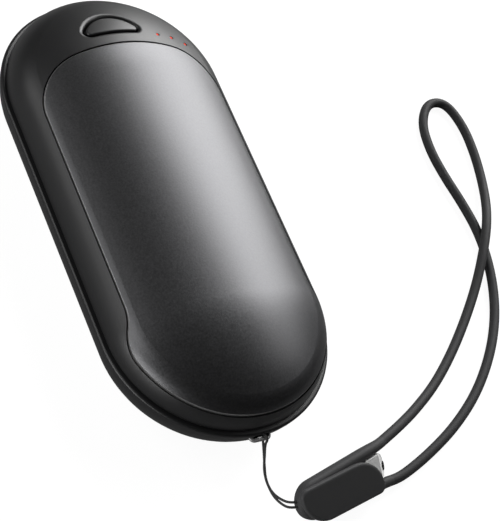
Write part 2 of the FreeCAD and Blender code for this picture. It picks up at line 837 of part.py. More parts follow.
button_opening = prism("button_opening", [button_outline(0)], parting, above)
plate_well = less("plate_well", prism("well_block", [plate_outline(S["plate_groove"])], parting, above), seat_form)
window_block = prism("window_block", [plate_outline(-S["ledge_width"])], lip_bottom, above)
window_cut = less("window_cut", window_block, lug_rods)
light_holes = [rod(f"light_hole_{i}", x, y, parting, above, S["window_radius"]) for i, (x, y) in enumerate(lights)]
lug_holes = [rod(f"lug_hole_{i}", x, y, lip_bottom, above, S["screw_hole_radius"])
             for i, (x, y) in enumerate(case_screws)]
counterbores = [rod(f"counterbore_{i}", x, y, screw_seat, above, S["counterbore_radius"])
                for i, (x, y) in enumerate(case_screws)]
front_cuts = fused("front_cuts", [plate_well, window_cut, button_opening, port_cutter]
                   + light_holes + lug_holes + counterbores)
front_blank = less("front_blank", front_solid, front_cuts)
node(rounded("front_brim", front_blank, S["button_rim_round"], seam_edge(front_skin, button_opening)), "front_frame")

# Heated plate and the layers under it
plate_under = upper_envelope("plate_under", S["plate_thickness"])
plate_sheet = less("plate_sheet", front_skin, plate_under)
plate_block = prism("plate_block", [plate_outline(0)], parting, above)
plate_cut = shared("plate_cut", plate_block, plate_sheet)
node(rounded("plate_round", plate_cut, S["plate_edge_round"], seam_edge(front_skin, plate_block)), "heat_plate")

adhesive_sheet = less("adhesive_sheet", plate_under, seat_form)
adhesive_ring = prism("adhesive_ring", [plate_outline(-S["adhesive_inset"]),
                                        plate_outline(S["adhesive_inset"] - S["ledge_width"])], parting, above)
node(shared("plate_adhesive_cut", adhesive_ring, adhesive_sheet), "plate_adhesive")

film_top = S["plate_thickness"] + S["film_gap"]
film_bottom = film_top + S["film_thickness"]
film_sheet = less("film_sheet", upper_envelope("film_over", film_top), upper_envelope("film_under", film_bottom))
film_area = prism("film_area", [plate_outline(-S["ledge_width"] - S["film_inset"])], parting, above)
film_notches = fused("film_notches", [rod(f"film_notch_{i}", x, y, parting, above, S["lug_radius"] + S["film_inset"])
                                      for i, (x, y) in enumerate(case_screws)])
film_block = less("film_block", film_area, film_notches)
node(shared("heater_film_cut", film_block, film_sheet), "heater_film")

pad_top = film_bottom + S["pad_gap"]
pad_bottom = pad_top + S["pad_thickness"]
pad_sheet = less("pad_sheet", upper_envelope("pad_over", pad_top), upper_envelope("pad_under", pad_bottom))
sensor_half_length = S["sensor_length"] / 2
sensor_half_width = S["sensor_width"] / 2
sensor_window = box("sensor_window", -sensor_half_length - S["sensor_clearance"],
                    sensor_half_length + S["sensor_clearance"], -sensor_half_width - S["sensor_clearance"],
                    sensor_half_width + S["sensor_clearance"], parting, above)
pad_area = box("pad_area", -S["pad_half_width"], S["pad_half_width"], cell_start + S["pad_inset"],
               cell_end - S["pad_inset"], parting, above)
pad_block = less("pad_block", shared("pad_in_window", pad_area, film_area), sensor_window)
node(shared("insulation_pad_cut", pad_block, pad_sheet), "insulation_pad")
sensor_top = case_height - pad_top
node(box("sensor_bead", -sensor_half_length, sensor_half_length, -sensor_half_width, sensor_half_width,
         sensor_top - S["sensor_height"], sensor_top), "thermistor")


# Cells: a can with a crimp groove and a raised positive end
def cell(name, x):
    body = new_body(name)
    shoulder_y = cell_end - S["cell_nub_height"]
    crimp_top = shoulder_y - S["cell_crimp_inset"]
    crimp_bottom = crimp_top - S["cell_crimp_width"]
    waist = cell_radius - S["cell_crimp_depth"]
    outline = Outline(0, cell_start).line(cell_radius - S["cell_edge"], cell_start)
    outline.line(cell_radius, cell_start + S["cell_edge"]).line(cell_radius, crimp_bottom)
    outline.line(waist, crimp_bottom).line(waist, crimp_top).line(cell_radius, crimp_top)
    outline.line(cell_radius, shoulder_y).line(S["cell_nub_radius"], shoulder_y)
    outline.line(S["cell_nub_radius"], cell_end).line(0, cell_end).close()
    sketch = sketch_in(body, f"{name}_section", "XY_Plane", [outline])
    feature = body.newObject("PartDesign::Revolution", f"{name}_turn")
    feature.Profile = sketch
    feature.ReferenceAxis = (sketch, ["V_Axis"])
    feature.Angle = 360
    bind(body, "Placement.Base.x", x)
    bind(body, "Placement.Base.z", cell_z)
    return body


node(cell("cell_left", -cell_x), "battery_cell_left")
node(cell("cell_right", cell_x), "battery_cell_right")


def strip(name, y0):
    """A flat strip across both cell ends."""
    return box(name, -S["strip_half_width"], S["strip_half_width"], y0, y0 + S["strip_thickness"],
               cell_z - S["strip_half_height"], cell_z + S["strip_half_height"])


strip_start = cell_start - S["strip_thickness"]
strip_tab = box("strip_tab", -S["strip_tab_half_width"], S["strip_tab_half_width"], strip_start, cell_start,
                cell_z, cell_z + S["strip_tab_height"])
node(strip("positive_strip", cell_end), "nickel_strip_positive")
node(fused("negative_joined", [strip("negative_strip", strip_start), strip_tab]), "nickel_strip_negative")

# Cradle: end walls, side rails and a spine between the cells, kept inside the tub
upper_wall = cell_end + S["cradle_gap"]
lower_wall = cell_start - S["cradle_gap"]
rail_inner = cell_x + cell_radius + S["cradle_clearance"]
cradle_top = lip_bottom - S["cradle_clearance"]
cradle_half = S["cradle_half_width"]
cradle_blocks = [
    box("cradle_upper_wall", -cradle_half, cradle_half, upper_wall, upper_wall + S["cradle_wall"], 0, cradle_top),
    box("cradle_lower_wall", -cradle_half, cradle_half, lower_wall - S["cradle_wall"], lower_wall, 0, cradle_top),
    box("cradle_spine", -S["spine_half_width"], S["spine_half_width"], lower_wall, upper_wall, 0,
        S["back_wall"] + S["cradle_clearance"] + S["spine_height"]),
    box("cradle_rail_left", -rail_inner - S["cradle_rail"], -rail_inner, lower_wall - S["cradle_wall"],
        upper_wall + S["cradle_wall"], S["cradle_rail_bottom"], cradle_top),
    box("cradle_rail_right", rail_inner, rail_inner + S["cradle_rail"], lower_wall - S["cradle_wall"],
        upper_wall + S["cradle_wall"], S["cradle_rail_bottom"], cradle_top),
]
cradle_form = lower_envelope("cradle_form", S["back_wall"] + S["cradle_clearance"])
spread = S["power_lead_spread"]
strip_level = cell_z + S["strip_lead_rise"]
lead_room = S["power_lead_radius"] + S["cradle_clearance"]
lead_notch = box("lead_notch", spread - lead_room, spread + lead_room, upper_wall, upper_wall + S["cradle_wall"],
                 strip_level - lead_room, above)
cradle_open = less("cradle_open", fused("cradle_joined", cradle_blocks), lead_notch)
node(shared("cell_cradle_cut", cradle_open, cradle_form), "cell_cradle")

# Board with three screw holes
board_side = end_centre + root(S["board_radius"] * S["board_radius"] - S["board_half_width"] * S["board_half_width"])
board_outline = Outline(-S["board_half_width"], board_edge).line(S["board_half_width"], board_edge)
board_outline.line(S["board_half_width"], board_side)
board_outline.arc(-S["board_half_width"], board_side, 0, end_centre, S["board_radius"], 1).close()
board_holes = [Ring(x, y, S["board_hole_radius"]) for x, y in board_screws]
node(prism("board_block", [board_outline] + board_holes, board_bottom, board_top), "circuit_board")


def screw(name, x, y, seat, depth):
    """A pan-head screw with its head on a seat, its shank below and a driver recess above."""
    head = rod(f"{name}_head", x, y, seat, seat + S["screw_head_height"], S["screw_head_radius"])
    shank = rod(f"{name}_shank", x, y, depth, seat, S["screw_radius"])
    recess = rod(f"{name}_recess", x, y, seat + S["screw_head_height"] / 2, seat + S["screw_head_height"],
                 S["screw_recess"])
    return less(name, fused(f"{name}_blank", [head, shank]), recess)


case_screw_tip = parting - S["case_screw_depth"]
board_screw_tip = board_bottom - S["board_screw_depth"]


def group(name, things):
    """Keeps separate solids together as one piece."""
    compound = doc.addObject("Part::Compound", name)
    compound.Links = list(things)
    return compound


node(group("case_screw_set", [screw(f"case_screw_{i}", x, y, screw_seat, case_screw_tip)
                              for i, (x, y) in enumerate(case_screws)]), "case_screws")
node(group("board_screw_set", [screw(f"board_screw_{i}", x, y, board_top, board_screw_tip)
                               for i, (x, y) in enumerate(board_screws)]), "board_screws")


def board_part(name, x, y, length, width, height):
    """A block that stands on the board about a centre."""
    return box(name, x - length / 2, x + length / 2, y - width / 2, y + width / 2, board_top, board_top + height)


chip_x = S["board_screw_reach"] - S["screw_head_radius"] - S["chip_screw_gap"] - S["chip_side"] / 2
node(board_part("chip_block", chip_x, half_length - S["chip_inset"], S["chip_side"], S["chip_side"],
                S["chip_height"]), "controller_chip")
node(board_part("inductor_block", -S["inductor_offset"], half_length - S["inductor_inset"], S["inductor_side"],
                S["inductor_side"], S["inductor_height"]), "inductor")
node(board_part("mosfet_block", S["mosfet_offset"], half_length - S["mosfet_inset"], S["mosfet_length"],
                S["mosfet_width"], S["mosfet_height"]), "mosfet")
passive_places = [(S["passive_row_pitch"] * index - S["passive_row_start"], half_length - S["passive_row_inset"])
                  for index in range(4)]
passive_places += [(lights[0][0] - S["passive_light_gap"],
                    half_length - S["passive_pair_inset"] - S["passive_pair_pitch"] * index) for index in range(2)]
node(group("passive_set", [board_part(f"passive_{i}", x, y, S["passive_length"], S["passive_width"],
                                      S["passive_height"]) for i, (x, y) in enumerate(passive_places)]),
     "board_passives")

# Indicator lights: a lamp on the board below each window and one light guide with three prongs
for index, (x, y) in enumerate(lights, 1):
    node(board_part(f"led_body_{index}", x, y, S["led_length"], S["led_width"], S["led_height"]), f"led_{index}")
guide_foot = board_top + S["led_height"] + S["led_gap"]
guide_form = upper_envelope("guide_form", S["frame_wall"] + S["guide_gap"])
window_form = upper_envelope("window_form", S["window_depth"])
prongs = shared("guide_prongs", fused("guide_rods", [rod(f"guide_rod_{i}", x, y, guide_foot, above, S["guide_radius"])
                                                     for i, (x, y) in enumerate(lights)]), guide_form)
tips = shared("guide_tips", fused("tip_rods", [rod(f"tip_rod_{i}", x, y, guide_foot, above,
                                                   S["window_radius"] - S["window_fit"])
                                               for i, (x, y) in enumerate(lights)]), window_form)
rail_bottom = board_top + S["guide_rail_height"]
near = light_reach - S["guide_rail_width"] / 2
far = light_reach + S["guide_rail_width"] / 2
first_turn, last_turn = light_turns[0], light_turns[-1]
rail_outline = Outline(*round_corner(near, first_turn)).line(*round_corner(far, first_turn))
rail_outline.arc(*round_corner(far, last_turn), corner_x, corner_y, far, -1)
rail_outline.line(*round_corner(near, last_turn)).close((corner_x, corner_y, near, 1))
guide_rail = prism("guide_rail", [rail_outline], rail_bottom, rail_bottom + S["guide_rail_thickness"])
node(fused("light_guide_joined", [prongs, tips, guide_rail]), "light_guide")

# Button cap: flush crown, retaining flange under the collar and a stem to the switch
cap_block = prism("cap_block", [button_outline(-S["button_gap"])], flange_bottom, above)
cap_blank = shared("cap_blank", cap_block, front_skin)
cap_crown = rounded("cap_crown", cap_blank, S["button_edge_round"], seam_edge(front_skin, cap_block))
cap_flange = prism("cap_flange", [button_outline(S["button_flange"])], flange_bottom, flange_top)
cap_stem = rod("cap_stem", button_x, switch_y, plunger_top + S["stem_clearance"], flange_bottom, S["stem_radius"])
node(fused("button_cap_joined", [cap_crown, cap_flange, cap_stem]), "button_cap")

# Switch: base with a pocket, domed spring disc, plunger and a cover plate
switch_half = S["switch_side"] / 2
base_top = board_top + S["switch_base_height"]
pocket_floor = base_top - S["switch_pocket_depth"]
base_block = box("switch_block", button_x - switch_half, button_x + switch_half, switch_y - switch_half,
                 switch_y + switch_half, board_top, base_top)
node(less("switch_base_cut", base_block, rod("switch_pocket", button_x, switch_y, pocket_floor, base_top,
                                             S["switch_pocket_radius"])), "switch_base")
cover_block = box("cover_block", button_x - switch_half, button_x + switch_half, switch_y - switch_half,
                  switch_y + switch_half, base_top, base_top + S["switch_cover_thickness"])
node(less("switch_cover_cut", cover_block, rod("cover_hole", button_x, switch_y, board_top, above,
                                               S["plunger_radius"] + S["plunger_clearance"])), "switch_cover")


def dome():
    """A thin disc domed upwards: one ring section of two arcs turned about its axis."""
    body = new_body("dome_body")
    rise = S["dome_rise"]
    reach = S["dome_radius"]
    sphere = (reach * reach + rise * rise) / (rise * 2)
    centre = rise - sphere
    outer = sphere
    inner = sphere - S["dome_thickness"]
    foot = root(inner * inner - centre * centre)
    outline = Outline(0, inner + centre).line(0, outer + centre)
    outline.arc(reach, 0, 0, centre, outer, -1).line(foot, 0).close((0, centre, inner, 1))
    sketch = sketch_in(body, "dome_section", "XZ_Plane", [outline])
    feature = body.newObject("PartDesign::Revolution", "dome_turn")
    feature.Profile = sketch
    feature.ReferenceAxis = (sketch, ["V_Axis"])
    feature.Angle = 360
    for axis, size in (("x", button_x), ("y", switch_y), ("z", pocket_floor)):
        bind(body, f"Placement.Base.{axis}", size)
    return body


node(dome(), "switch_dome")
plunger_shoulder = base_top - S["plunger_play"]
plunger_foot = plunger_shoulder - S["plunger_flange_height"]
node(fused("plunger_joined", [
    rod("plunger_flange", button_x, switch_y, plunger_foot, plunger_shoulder, S["plunger_flange_radius"]),
    rod("plunger_stem", button_x, switch_y, plunger_shoulder, plunger_top, S["plunger_radius"]),
]), "switch_plunger")


# Cords, leads and bent wire: straight runs joined by tangent arcs
def tube(name, label, points, radius, bend=None):
    """Sweeps a round section along a route; each arc takes 0.45 of its shorter run unless a bend is given."""
    route = [Vector(*point) for point in points]
    edges = []
    radii = []
    here = route[0]
    for before, corner, after in zip(route, route[1:], route[2:]):
        inward = (corner - before).normalize()
        outward = (after - corner).normalize()
        half_angle = inward.getAngle(outward) / 2
        if bend:
            reach = bend * math.tan(half_angle)
        else:
            reach = 0.45 * min((corner - before).Length, (after - corner).Length)
        start = corner - inward * reach
        finish = corner + outward * reach
        arc_radius = reach / math.tan(half_angle)
        radii.append(arc_radius)
        toward = (outward - inward).normalize()
        centre = corner + toward * (reach / math.sin(half_angle))
        middle = centre - toward * arc_radius
        edges.append(Part.LineSegment(here, start).toShape())
        edges.append(Part.Arc(start, middle, finish).toShape())
        here = finish
    edges.append(Part.LineSegment(here, route[-1]).toShape())
    path = Part.Wire(edges)
    circle = Part.Wire([Part.Circle(route[0], route[1] - route[0], radius).toShape()])
    solid = path.makePipeShell([circle], True, False)
    thing = doc.addObject("Part::Feature", name)
    thing.Shape = solid
    expected = math.pi * radius ** 2 * path.Length
    print(f"{label}: length {path.Length:.2f}, least bend {min(radii):.2f}, volume ratio {solid.Volume / expected:.5f}")
    return node(thing, label)


def wire(name, label, places, radius, bend=None):
    """A tube along places given by sizes."""
    return tube(name, label, [[as_size(size).value for size in place] for place in places], radius.value, bend)


bail_left = S["bail_offset"] - S["bail_half_width"]
bail_right = S["bail_offset"] + S["bail_half_width"]
wire("bail_wire", "lanyard_bail", [(bail_left, leg_tip, bail_z), (bail_left, bail_y, bail_z),
                                   (bail_right, bail_y, bail_z), (bail_right, leg_tip, bail_z)],
     S["bail_radius"], S["bail_bend"].value)

# Leads: from the cells' strips and the heater film over the board's edge and down to it
lead_end = board_top + S["lead_joint_gap"]
lead_crest = board_top + S["lead_arch"]
board_lead_y = board_edge + S["board_lead_inset"]
strip_face = cell_end + S["strip_thickness"] + S["lead_joint_gap"]
wire("positive_lead", "battery_lead_positive", [
    (spread, strip_face, strip_level), (spread, strip_face + S["lead_run"], strip_level),
    (spread, board_lead_y - S["lead_run"], lead_crest), (spread, board_lead_y, lead_crest),
    (spread, board_lead_y, lead_end)], S["power_lead_radius"])
valley_level = cell_z + S["valley_lead_rise"]
wire("negative_lead", "battery_lead_negative", [
    (0, cell_start + S["lead_joint_gap"], valley_level), (0, cell_end, valley_level),
    (-spread, board_lead_y - S["lead_run"], lead_crest), (-spread, board_lead_y, lead_crest),
    (-spread, board_lead_y, lead_end)], S["power_lead_radius"])
film_tail_y = plate_top - S["film_tail_inset"]
film_tail_z = case_height - film_bottom - S["film_tail_gap"]
for side, label in ((-1, "heater_lead_left"), (1, "heater_lead_right")):
    x = S["heater_lead_spread"] * side
    wire(f"{label}_wire", label, [
        (x, film_tail_y, film_tail_z), (x, film_tail_y, film_tail_z - S["lead_run"]),
        (x, board_lead_y, board_top + S["lead_run"]), (x, board_lead_y, lead_end)], S["heater_lead_radius"])

# Bead of the strap, built in its own frame: a bent band with two arms, a raised pad and a hard core in the slot
POD_CENTRE = Vector(16.05, -65.0, 5.15)
pod_place = FreeCAD.Placement(POD_CENTRE, FreeCAD.Rotation(SIZES["pod_yaw"], 0, SIZES["pod_tilt"]))
pod_bend = S["pod_bend_radius"] - S["pod_left"]
arm_end = S["pod_arm_end"]
splay_sine = sine(S["pod_splay"])
splay_cosine = cosine(S["pod_splay"])


def splayed_reach(radius, x):
    """How far from the bead's middle line a splayed side lies, for a round left end of a radius."""
    return radius / splay_cosine + (x - pod_bend) * splay_sine / splay_cosine


def bent_outline(radius, right):
    """A round left end about the bead's bend with two splayed sides, cut square at the right."""
    touch_x = pod_bend - radius * splay_sine
    touch_y = radius * splay_cosine
    right_y = splayed_reach(radius, right)
    outline = Outline(right, right_y).line(touch_x, touch_y)
    outline.arc(touch_x, -touch_y, pod_bend, 0, radius, 1).line(right, -right_y)
    return outline.close()


def core_outline(radius, right):
    """The slot's own outline with a round right end that touches both splayed sides."""
    touch_x = pod_bend - radius * splay_sine
    touch_y = radius * splay_cosine
    centre = (right - radius + pod_bend * splay_sine) / (splay_sine + 1)
    end_radius = radius + (centre - pod_bend) * splay_sine
    end_x = centre - end_radius * splay_sine
    end_y = end_radius * splay_cosine
    outline = Outline(end_x, end_y).line(touch_x, touch_y)
    outline.arc(touch_x, -touch_y, pod_bend, 0, radius, 1).line(end_x, -end_y)
    return outline.close((centre, 0, end_radius, 1))


def pad_outline(inset):
    """The raised pad's slanted pill, drawn in by an inset: at each end a tight corner runs into a wide one."""
    half = S["pod_pad_half_width"]
    wide = S["pod_pad_wide_radius"]
    lean = S["pod_pad_lean"]
    run = S["pod_pad_run"]
    shift = S["pod_pad_shift"]
    drop = S["pod_pad_drop"]
    tight = half - lean * lean / ((wide - half) * 4)
    share = (wide - inset) / (wide - tight)
    meet_x = run + lean * share
    meet_y = half - wide + (wide + tight - half * 2) * share
    level = half - inset
    tight_x = run + lean
    outline = Outline(run - shift, level - drop).line(-tight_x - shift, level - drop)
    outline.arc(-meet_x - shift, -meet_y - drop, -tight_x - shift, half - tight - drop, tight - inset, 1)
    outline.arc(-run - shift, -level - drop, -run - shift, wide - half - drop, wide - inset, 1)
    outline.line(tight_x - shift, -level - drop)
    outline.arc(meet_x - shift, meet_y - drop, tight_x - shift, tight - half - drop, tight - inset, 1)
    return outline.close((run - shift, half - wide - drop, wide - inset, 1))


pod_band = prism("pod_band", [bent_outline(S["pod_bend_radius"], arm_end)], -S["pod_height"], as_size(0))


def long_edge(edge):
    """The band's top and bottom edges, without its square arm ends."""
    box_of_edge = edge.BoundBox
    flat = box_of_edge.ZLength < 1e-4
    return flat and box_of_edge.XLength > 1e-3


band_round = rounded("band_round", pod_band, S["pod_round"], long_edge)
slot_block = prism("slot_block", [bent_outline(S["pod_slot_radius"], arm_end + 1)],
                   -S["pod_height"] - 1, as_size(1))
pod_arms = less("pod_arms", band_round, slot_block)
groove_top = S["pod_groove_height"]
pad_neck = prism("pad_neck", [pad_outline(S["pod_groove_depth"])], as_size(0), groove_top)
pad_top_height = groove_top + S["pod_pad_height"]
pad_blank = prism("pad_blank", [pad_outline(as_size(0))], groove_top, pad_top_height)
pad_round = rounded("pad_round", pad_blank, S["pod_pad_round"], level_edge(pad_top_height))
arm_width = S["pod_bend_radius"] - S["pod_slot_radius"]
taper_start = arm_end - S["pod_taper_overlap"]
taper_y = splayed_reach(S["pod_slot_radius"] + arm_width / 2, taper_start)
tapers = []
for side, name in ((-1, "lower"), (1, "upper")):
    taper = doc.addObject("Part::Cone", f"arm_taper_{name}")
    splay = FreeCAD.Rotation(Vector(0, 0, 1), SIZES["pod_splay"] * side)
    taper.Placement = FreeCAD.Placement(Vector(), splay * FreeCAD.Rotation(Vector(0, 1, 0), 90))
    bind(taper, "Radius1", arm_width / 2)
    bind(taper, "Radius2", S["strap_radius"])
    bind(taper, "Height", S["pod_taper_length"])
    bind(taper, "Placement.Base.x", taper_start)
    bind(taper, "Placement.Base.y", taper_y * side)
    bind(taper, "Placement.Base.z", -S["pod_height"] / 2)
    tapers.append(taper)
pod = fused("pod_joined", [pod_arms, pad_neck, pad_round] + tapers)
pod.Placement = pod_place
node(pod, "strap_pod")

core_block = prism("core_block", [core_outline(S["pod_slot_radius"] - S["core_clearance"], S["core_end"])],
                   S["core_clearance"] - S["pod_height"], -S["core_clearance"])
# The core's end slopes down to the right, and a hole for a cord goes through the slope at right angles
slope_turn = FreeCAD.Rotation(Vector(0, 1, 0), SIZES["core_slant"])
slope_sine = sine(S["core_slant"])
slope_cosine = cosine(S["core_slant"])
core_depth = S["pod_height"]
slope_tool = doc.addObject("Part::Box", "slope_tool")
slope_tool.Placement = FreeCAD.Placement(Vector(), slope_turn)
bind(slope_tool, "Length", core_depth * 4)
bind(slope_tool, "Width", S["pod_bend_radius"] * 2)
bind(slope_tool, "Height", core_depth * 2)
bind(slope_tool, "Placement.Base.x", S["core_slant_start"] - core_depth * slope_cosine)
bind(slope_tool, "Placement.Base.y", -S["pod_bend_radius"])
bind(slope_tool, "Placement.Base.z", core_depth * slope_sine)
core_hole = doc.addObject("Part::Cylinder", "core_hole")
core_hole.Placement = FreeCAD.Placement(Vector(), slope_turn)
slope_middle = S["core_slant_start"] + core_depth / 2 * slope_cosine / slope_sine
bind(core_hole, "Radius", S["core_hole_radius"])
bind(core_hole, "Height", core_depth * 4)
bind(core_hole, "Placement.Base.x", slope_middle - core_depth * 2 * slope_sine)
bind(core_hole, "Placement.Base.y", -S["core_hole_drop"])
bind(core_hole, "Placement.Base.z", -core_depth / 2 - core_depth * 2 * slope_cosine)
core = less("core_cut", less("core_sloped", core_block, slope_tool), core_hole)
core.Placement = pod_place
node(core, "pod_core")

# Wrist strap: out of the bead's upper arm, over itself, round its far tip and back to the lower arm
STRAP_ROUTE = [
    (26.53, -58.68, 6.19), (27.90, -58.33, 6.24), (30.40, -57.25, 5.85), (34.50, -55.45, 4.95),
    (38.30, -53.65, 3.95), (42.30, -51.65, 3.00), (50.50, -46.90, 1.75),
    (58.90, -40.40, 1.14), (67.00, -32.80, 1.14), (73.90, -25.10, 2.00), (79.40, -17.00, 3.90),
    (83.40, -11.00, 3.90), (87.40, -5.00, 2.20), (90.40, 1.80, 1.14), (92.10, 9.00, 1.14),
    (92.90, 16.80, 1.14), (91.30, 23.90, 1.14), (86.05, 24.40, 1.14), (81.60, 18.80, 1.14),
    (80.20, 11.40, 1.14), (80.50, 4.00, 1.14), (81.60, -3.80, 1.14), (82.00, -11.80, 1.14),
    (80.60, -20.00, 1.14), (77.80, -28.20, 1.14), (73.50, -36.10, 1.14), (67.60, -43.60, 1.14),
    (60.00, -50.80, 1.14), (51.00, -56.80, 1.14), (42.30, -61.00, 1.14), (35.90, -63.50, 1.14),
    (32.40, -64.50, 1.25), (29.30, -64.82, 1.58), (27.82, -65.04, 1.65),
]
tube("strap_tube", "wrist_strap", STRAP_ROUTE, S["strap_radius"].value)

# Thin tether: out of the bead, up round the bail's bar and back into the bead
TETHER_ROUTE = [
    (5.69, -65.36, 4.52), (4.28, -65.12, 4.42), (3.30, -63.73, 3.60), (2.42, -62.00, 3.20),
    (2.06, -60.02, 3.30), (1.89, -58.16, 4.10), (1.80, -56.73, 5.40), (1.80, -55.49, 7.00),
    (1.70, -54.50, 8.30), (1.60, -53.88, 9.58), (1.60, -53.88, 10.42), (1.60, -53.15, 10.84),
    (1.60, -52.42, 10.42), (1.60, -52.42, 9.58), (1.90, -52.90, 8.45), (2.20, -53.75, 7.20),
    (2.35, -54.95, 5.95), (2.22, -56.90, 4.60), (2.28, -58.49, 3.30), (2.55, -60.38, 2.50),
    (2.95, -62.65, 2.30), (3.71, -64.79, 2.90), (4.47, -65.96, 3.72), (5.73, -66.18, 3.95),
]
tube("tether_line", "tether_cord", TETHER_ROUTE, S["tether_radius"].value)

doc.recompute()

# Nothing is written unless every object is sound
for thing in doc.Objects:
    if "Invalid" in thing.State or "Error" in thing.State:
        raise RuntimeError(f"{thing.Label} failed: {thing.State}")
os.makedirs("parts", exist_ok=True)
for label, thing in nodes.items():
    if thing.Shape.isNull() or not thing.Shape.isValid():
        raise RuntimeError(f"{label} has no sound shape")
for label, thing in nodes.items():
    thing.Shape.exportStep(f"parts/{label}.step")
    print(f"{label}: {len(thing.Shape.Solids)} solid, {thing.Shape.Volume:.2f} mm3")
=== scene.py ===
import logging
import math
from dataclasses import dataclass, field
from enum import Enum

import bmesh
import bpy
from mathutils import Matrix, Vector


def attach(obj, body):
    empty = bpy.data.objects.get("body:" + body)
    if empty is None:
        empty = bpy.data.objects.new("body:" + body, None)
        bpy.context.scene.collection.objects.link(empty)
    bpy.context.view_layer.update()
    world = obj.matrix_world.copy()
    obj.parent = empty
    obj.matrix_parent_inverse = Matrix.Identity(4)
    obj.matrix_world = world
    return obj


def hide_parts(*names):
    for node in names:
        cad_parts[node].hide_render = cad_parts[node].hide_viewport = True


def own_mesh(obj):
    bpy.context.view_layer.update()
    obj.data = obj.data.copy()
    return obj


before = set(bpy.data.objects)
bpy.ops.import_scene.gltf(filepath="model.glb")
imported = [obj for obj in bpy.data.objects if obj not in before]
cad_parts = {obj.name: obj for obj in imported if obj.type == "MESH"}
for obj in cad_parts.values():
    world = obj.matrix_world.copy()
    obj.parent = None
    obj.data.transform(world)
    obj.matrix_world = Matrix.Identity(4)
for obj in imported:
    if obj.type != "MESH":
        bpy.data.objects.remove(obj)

log = logging.getLogger("hand_warmer")

MM = 0.001
MERGE_DISTANCE = 1e-6
CROWN_END = 27.8
CROWN_BASE = -18.46
Colour = tuple[float, float, float]
Point = tuple[float, float, float]
Socket = bpy.types.NodeSocket


def rgba(colour: Colour) -> tuple[float, float, float, float]:
    """Adds a full alpha to a colour."""
    return (*colour, 1.0)


class Softness(Enum):
    """How readily a cord of the lanyard bends."""

    MEDIUM = "medium"
    LIMP = "limp"


class GrainGroup:
    """The shared shader group that breaks up a surface with fine grain."""

    NAME = "fine_grain"
    DETAIL = 3.0
    DETAIL_ROUGHNESS = 0.6
    MIDDLE = 0.5

    @classmethod
    def get(cls) -> bpy.types.ShaderNodeTree:
        """Builds the group the first time and returns it.

        Returns:
            The node tree with colour, roughness and height outputs.
        """
        tree = bpy.data.node_groups.get(cls.NAME)
        if tree:
            return tree
        tree = bpy.data.node_groups.new(cls.NAME, "ShaderNodeTree")
        face = tree.interface
        face.new_socket("Colour", in_out="INPUT", socket_type="NodeSocketColor")
        for name in ("Scale", "Mottle", "Roughness", "Spread"):
            face.new_socket(name, in_out="INPUT", socket_type="NodeSocketFloat")
        face.new_socket("Colour", in_out="OUTPUT", socket_type="NodeSocketColor")
        for name in ("Roughness", "Height"):
            face.new_socket(name, in_out="OUTPUT", socket_type="NodeSocketFloat")
        add, link = tree.nodes.new, tree.links.new
        given, result = add("NodeGroupInput"), add("NodeGroupOutput")
        place = add("ShaderNodeTexCoord")
        speck = add("ShaderNodeTexNoise")
        speck.inputs["Detail"].default_value = cls.DETAIL
        speck.inputs["Roughness"].default_value = cls.DETAIL_ROUGHNESS
        link(place.outputs["Object"], speck.inputs["Vector"])
        link(given.outputs["Scale"], speck.inputs["Scale"])
        centred = add("ShaderNodeMath")
        centred.operation = "SUBTRACT"
        centred.inputs[1].default_value = cls.MIDDLE
        link(speck.outputs["Fac"], centred.inputs[0])
        lift = add("ShaderNodeMath")
        lift.operation = "MULTIPLY_ADD"
        lift.inputs[2].default_value = 1.0
        link(centred.outputs[0], lift.inputs[0])
        link(given.outputs["Mottle"], lift.inputs[1])
        shade = add("ShaderNodeVectorMath")
        shade.operation = "SCALE"
        link(given.outputs["Colour"], shade.inputs[0])
        link(lift.outputs[0], shade.inputs["Scale"])
        rough = add("ShaderNodeMath")
        rough.operation = "MULTIPLY_ADD"
        link(centred.outputs[0], rough.inputs[0])
        link(given.outputs["Spread"], rough.inputs[1])
        link(given.outputs["Roughness"], rough.inputs[2])
        link(shade.outputs[0], result.inputs["Colour"])
        link(rough.outputs[0], result.inputs["Roughness"])
        link(speck.outputs["Fac"], result.inputs["Height"])
        return tree


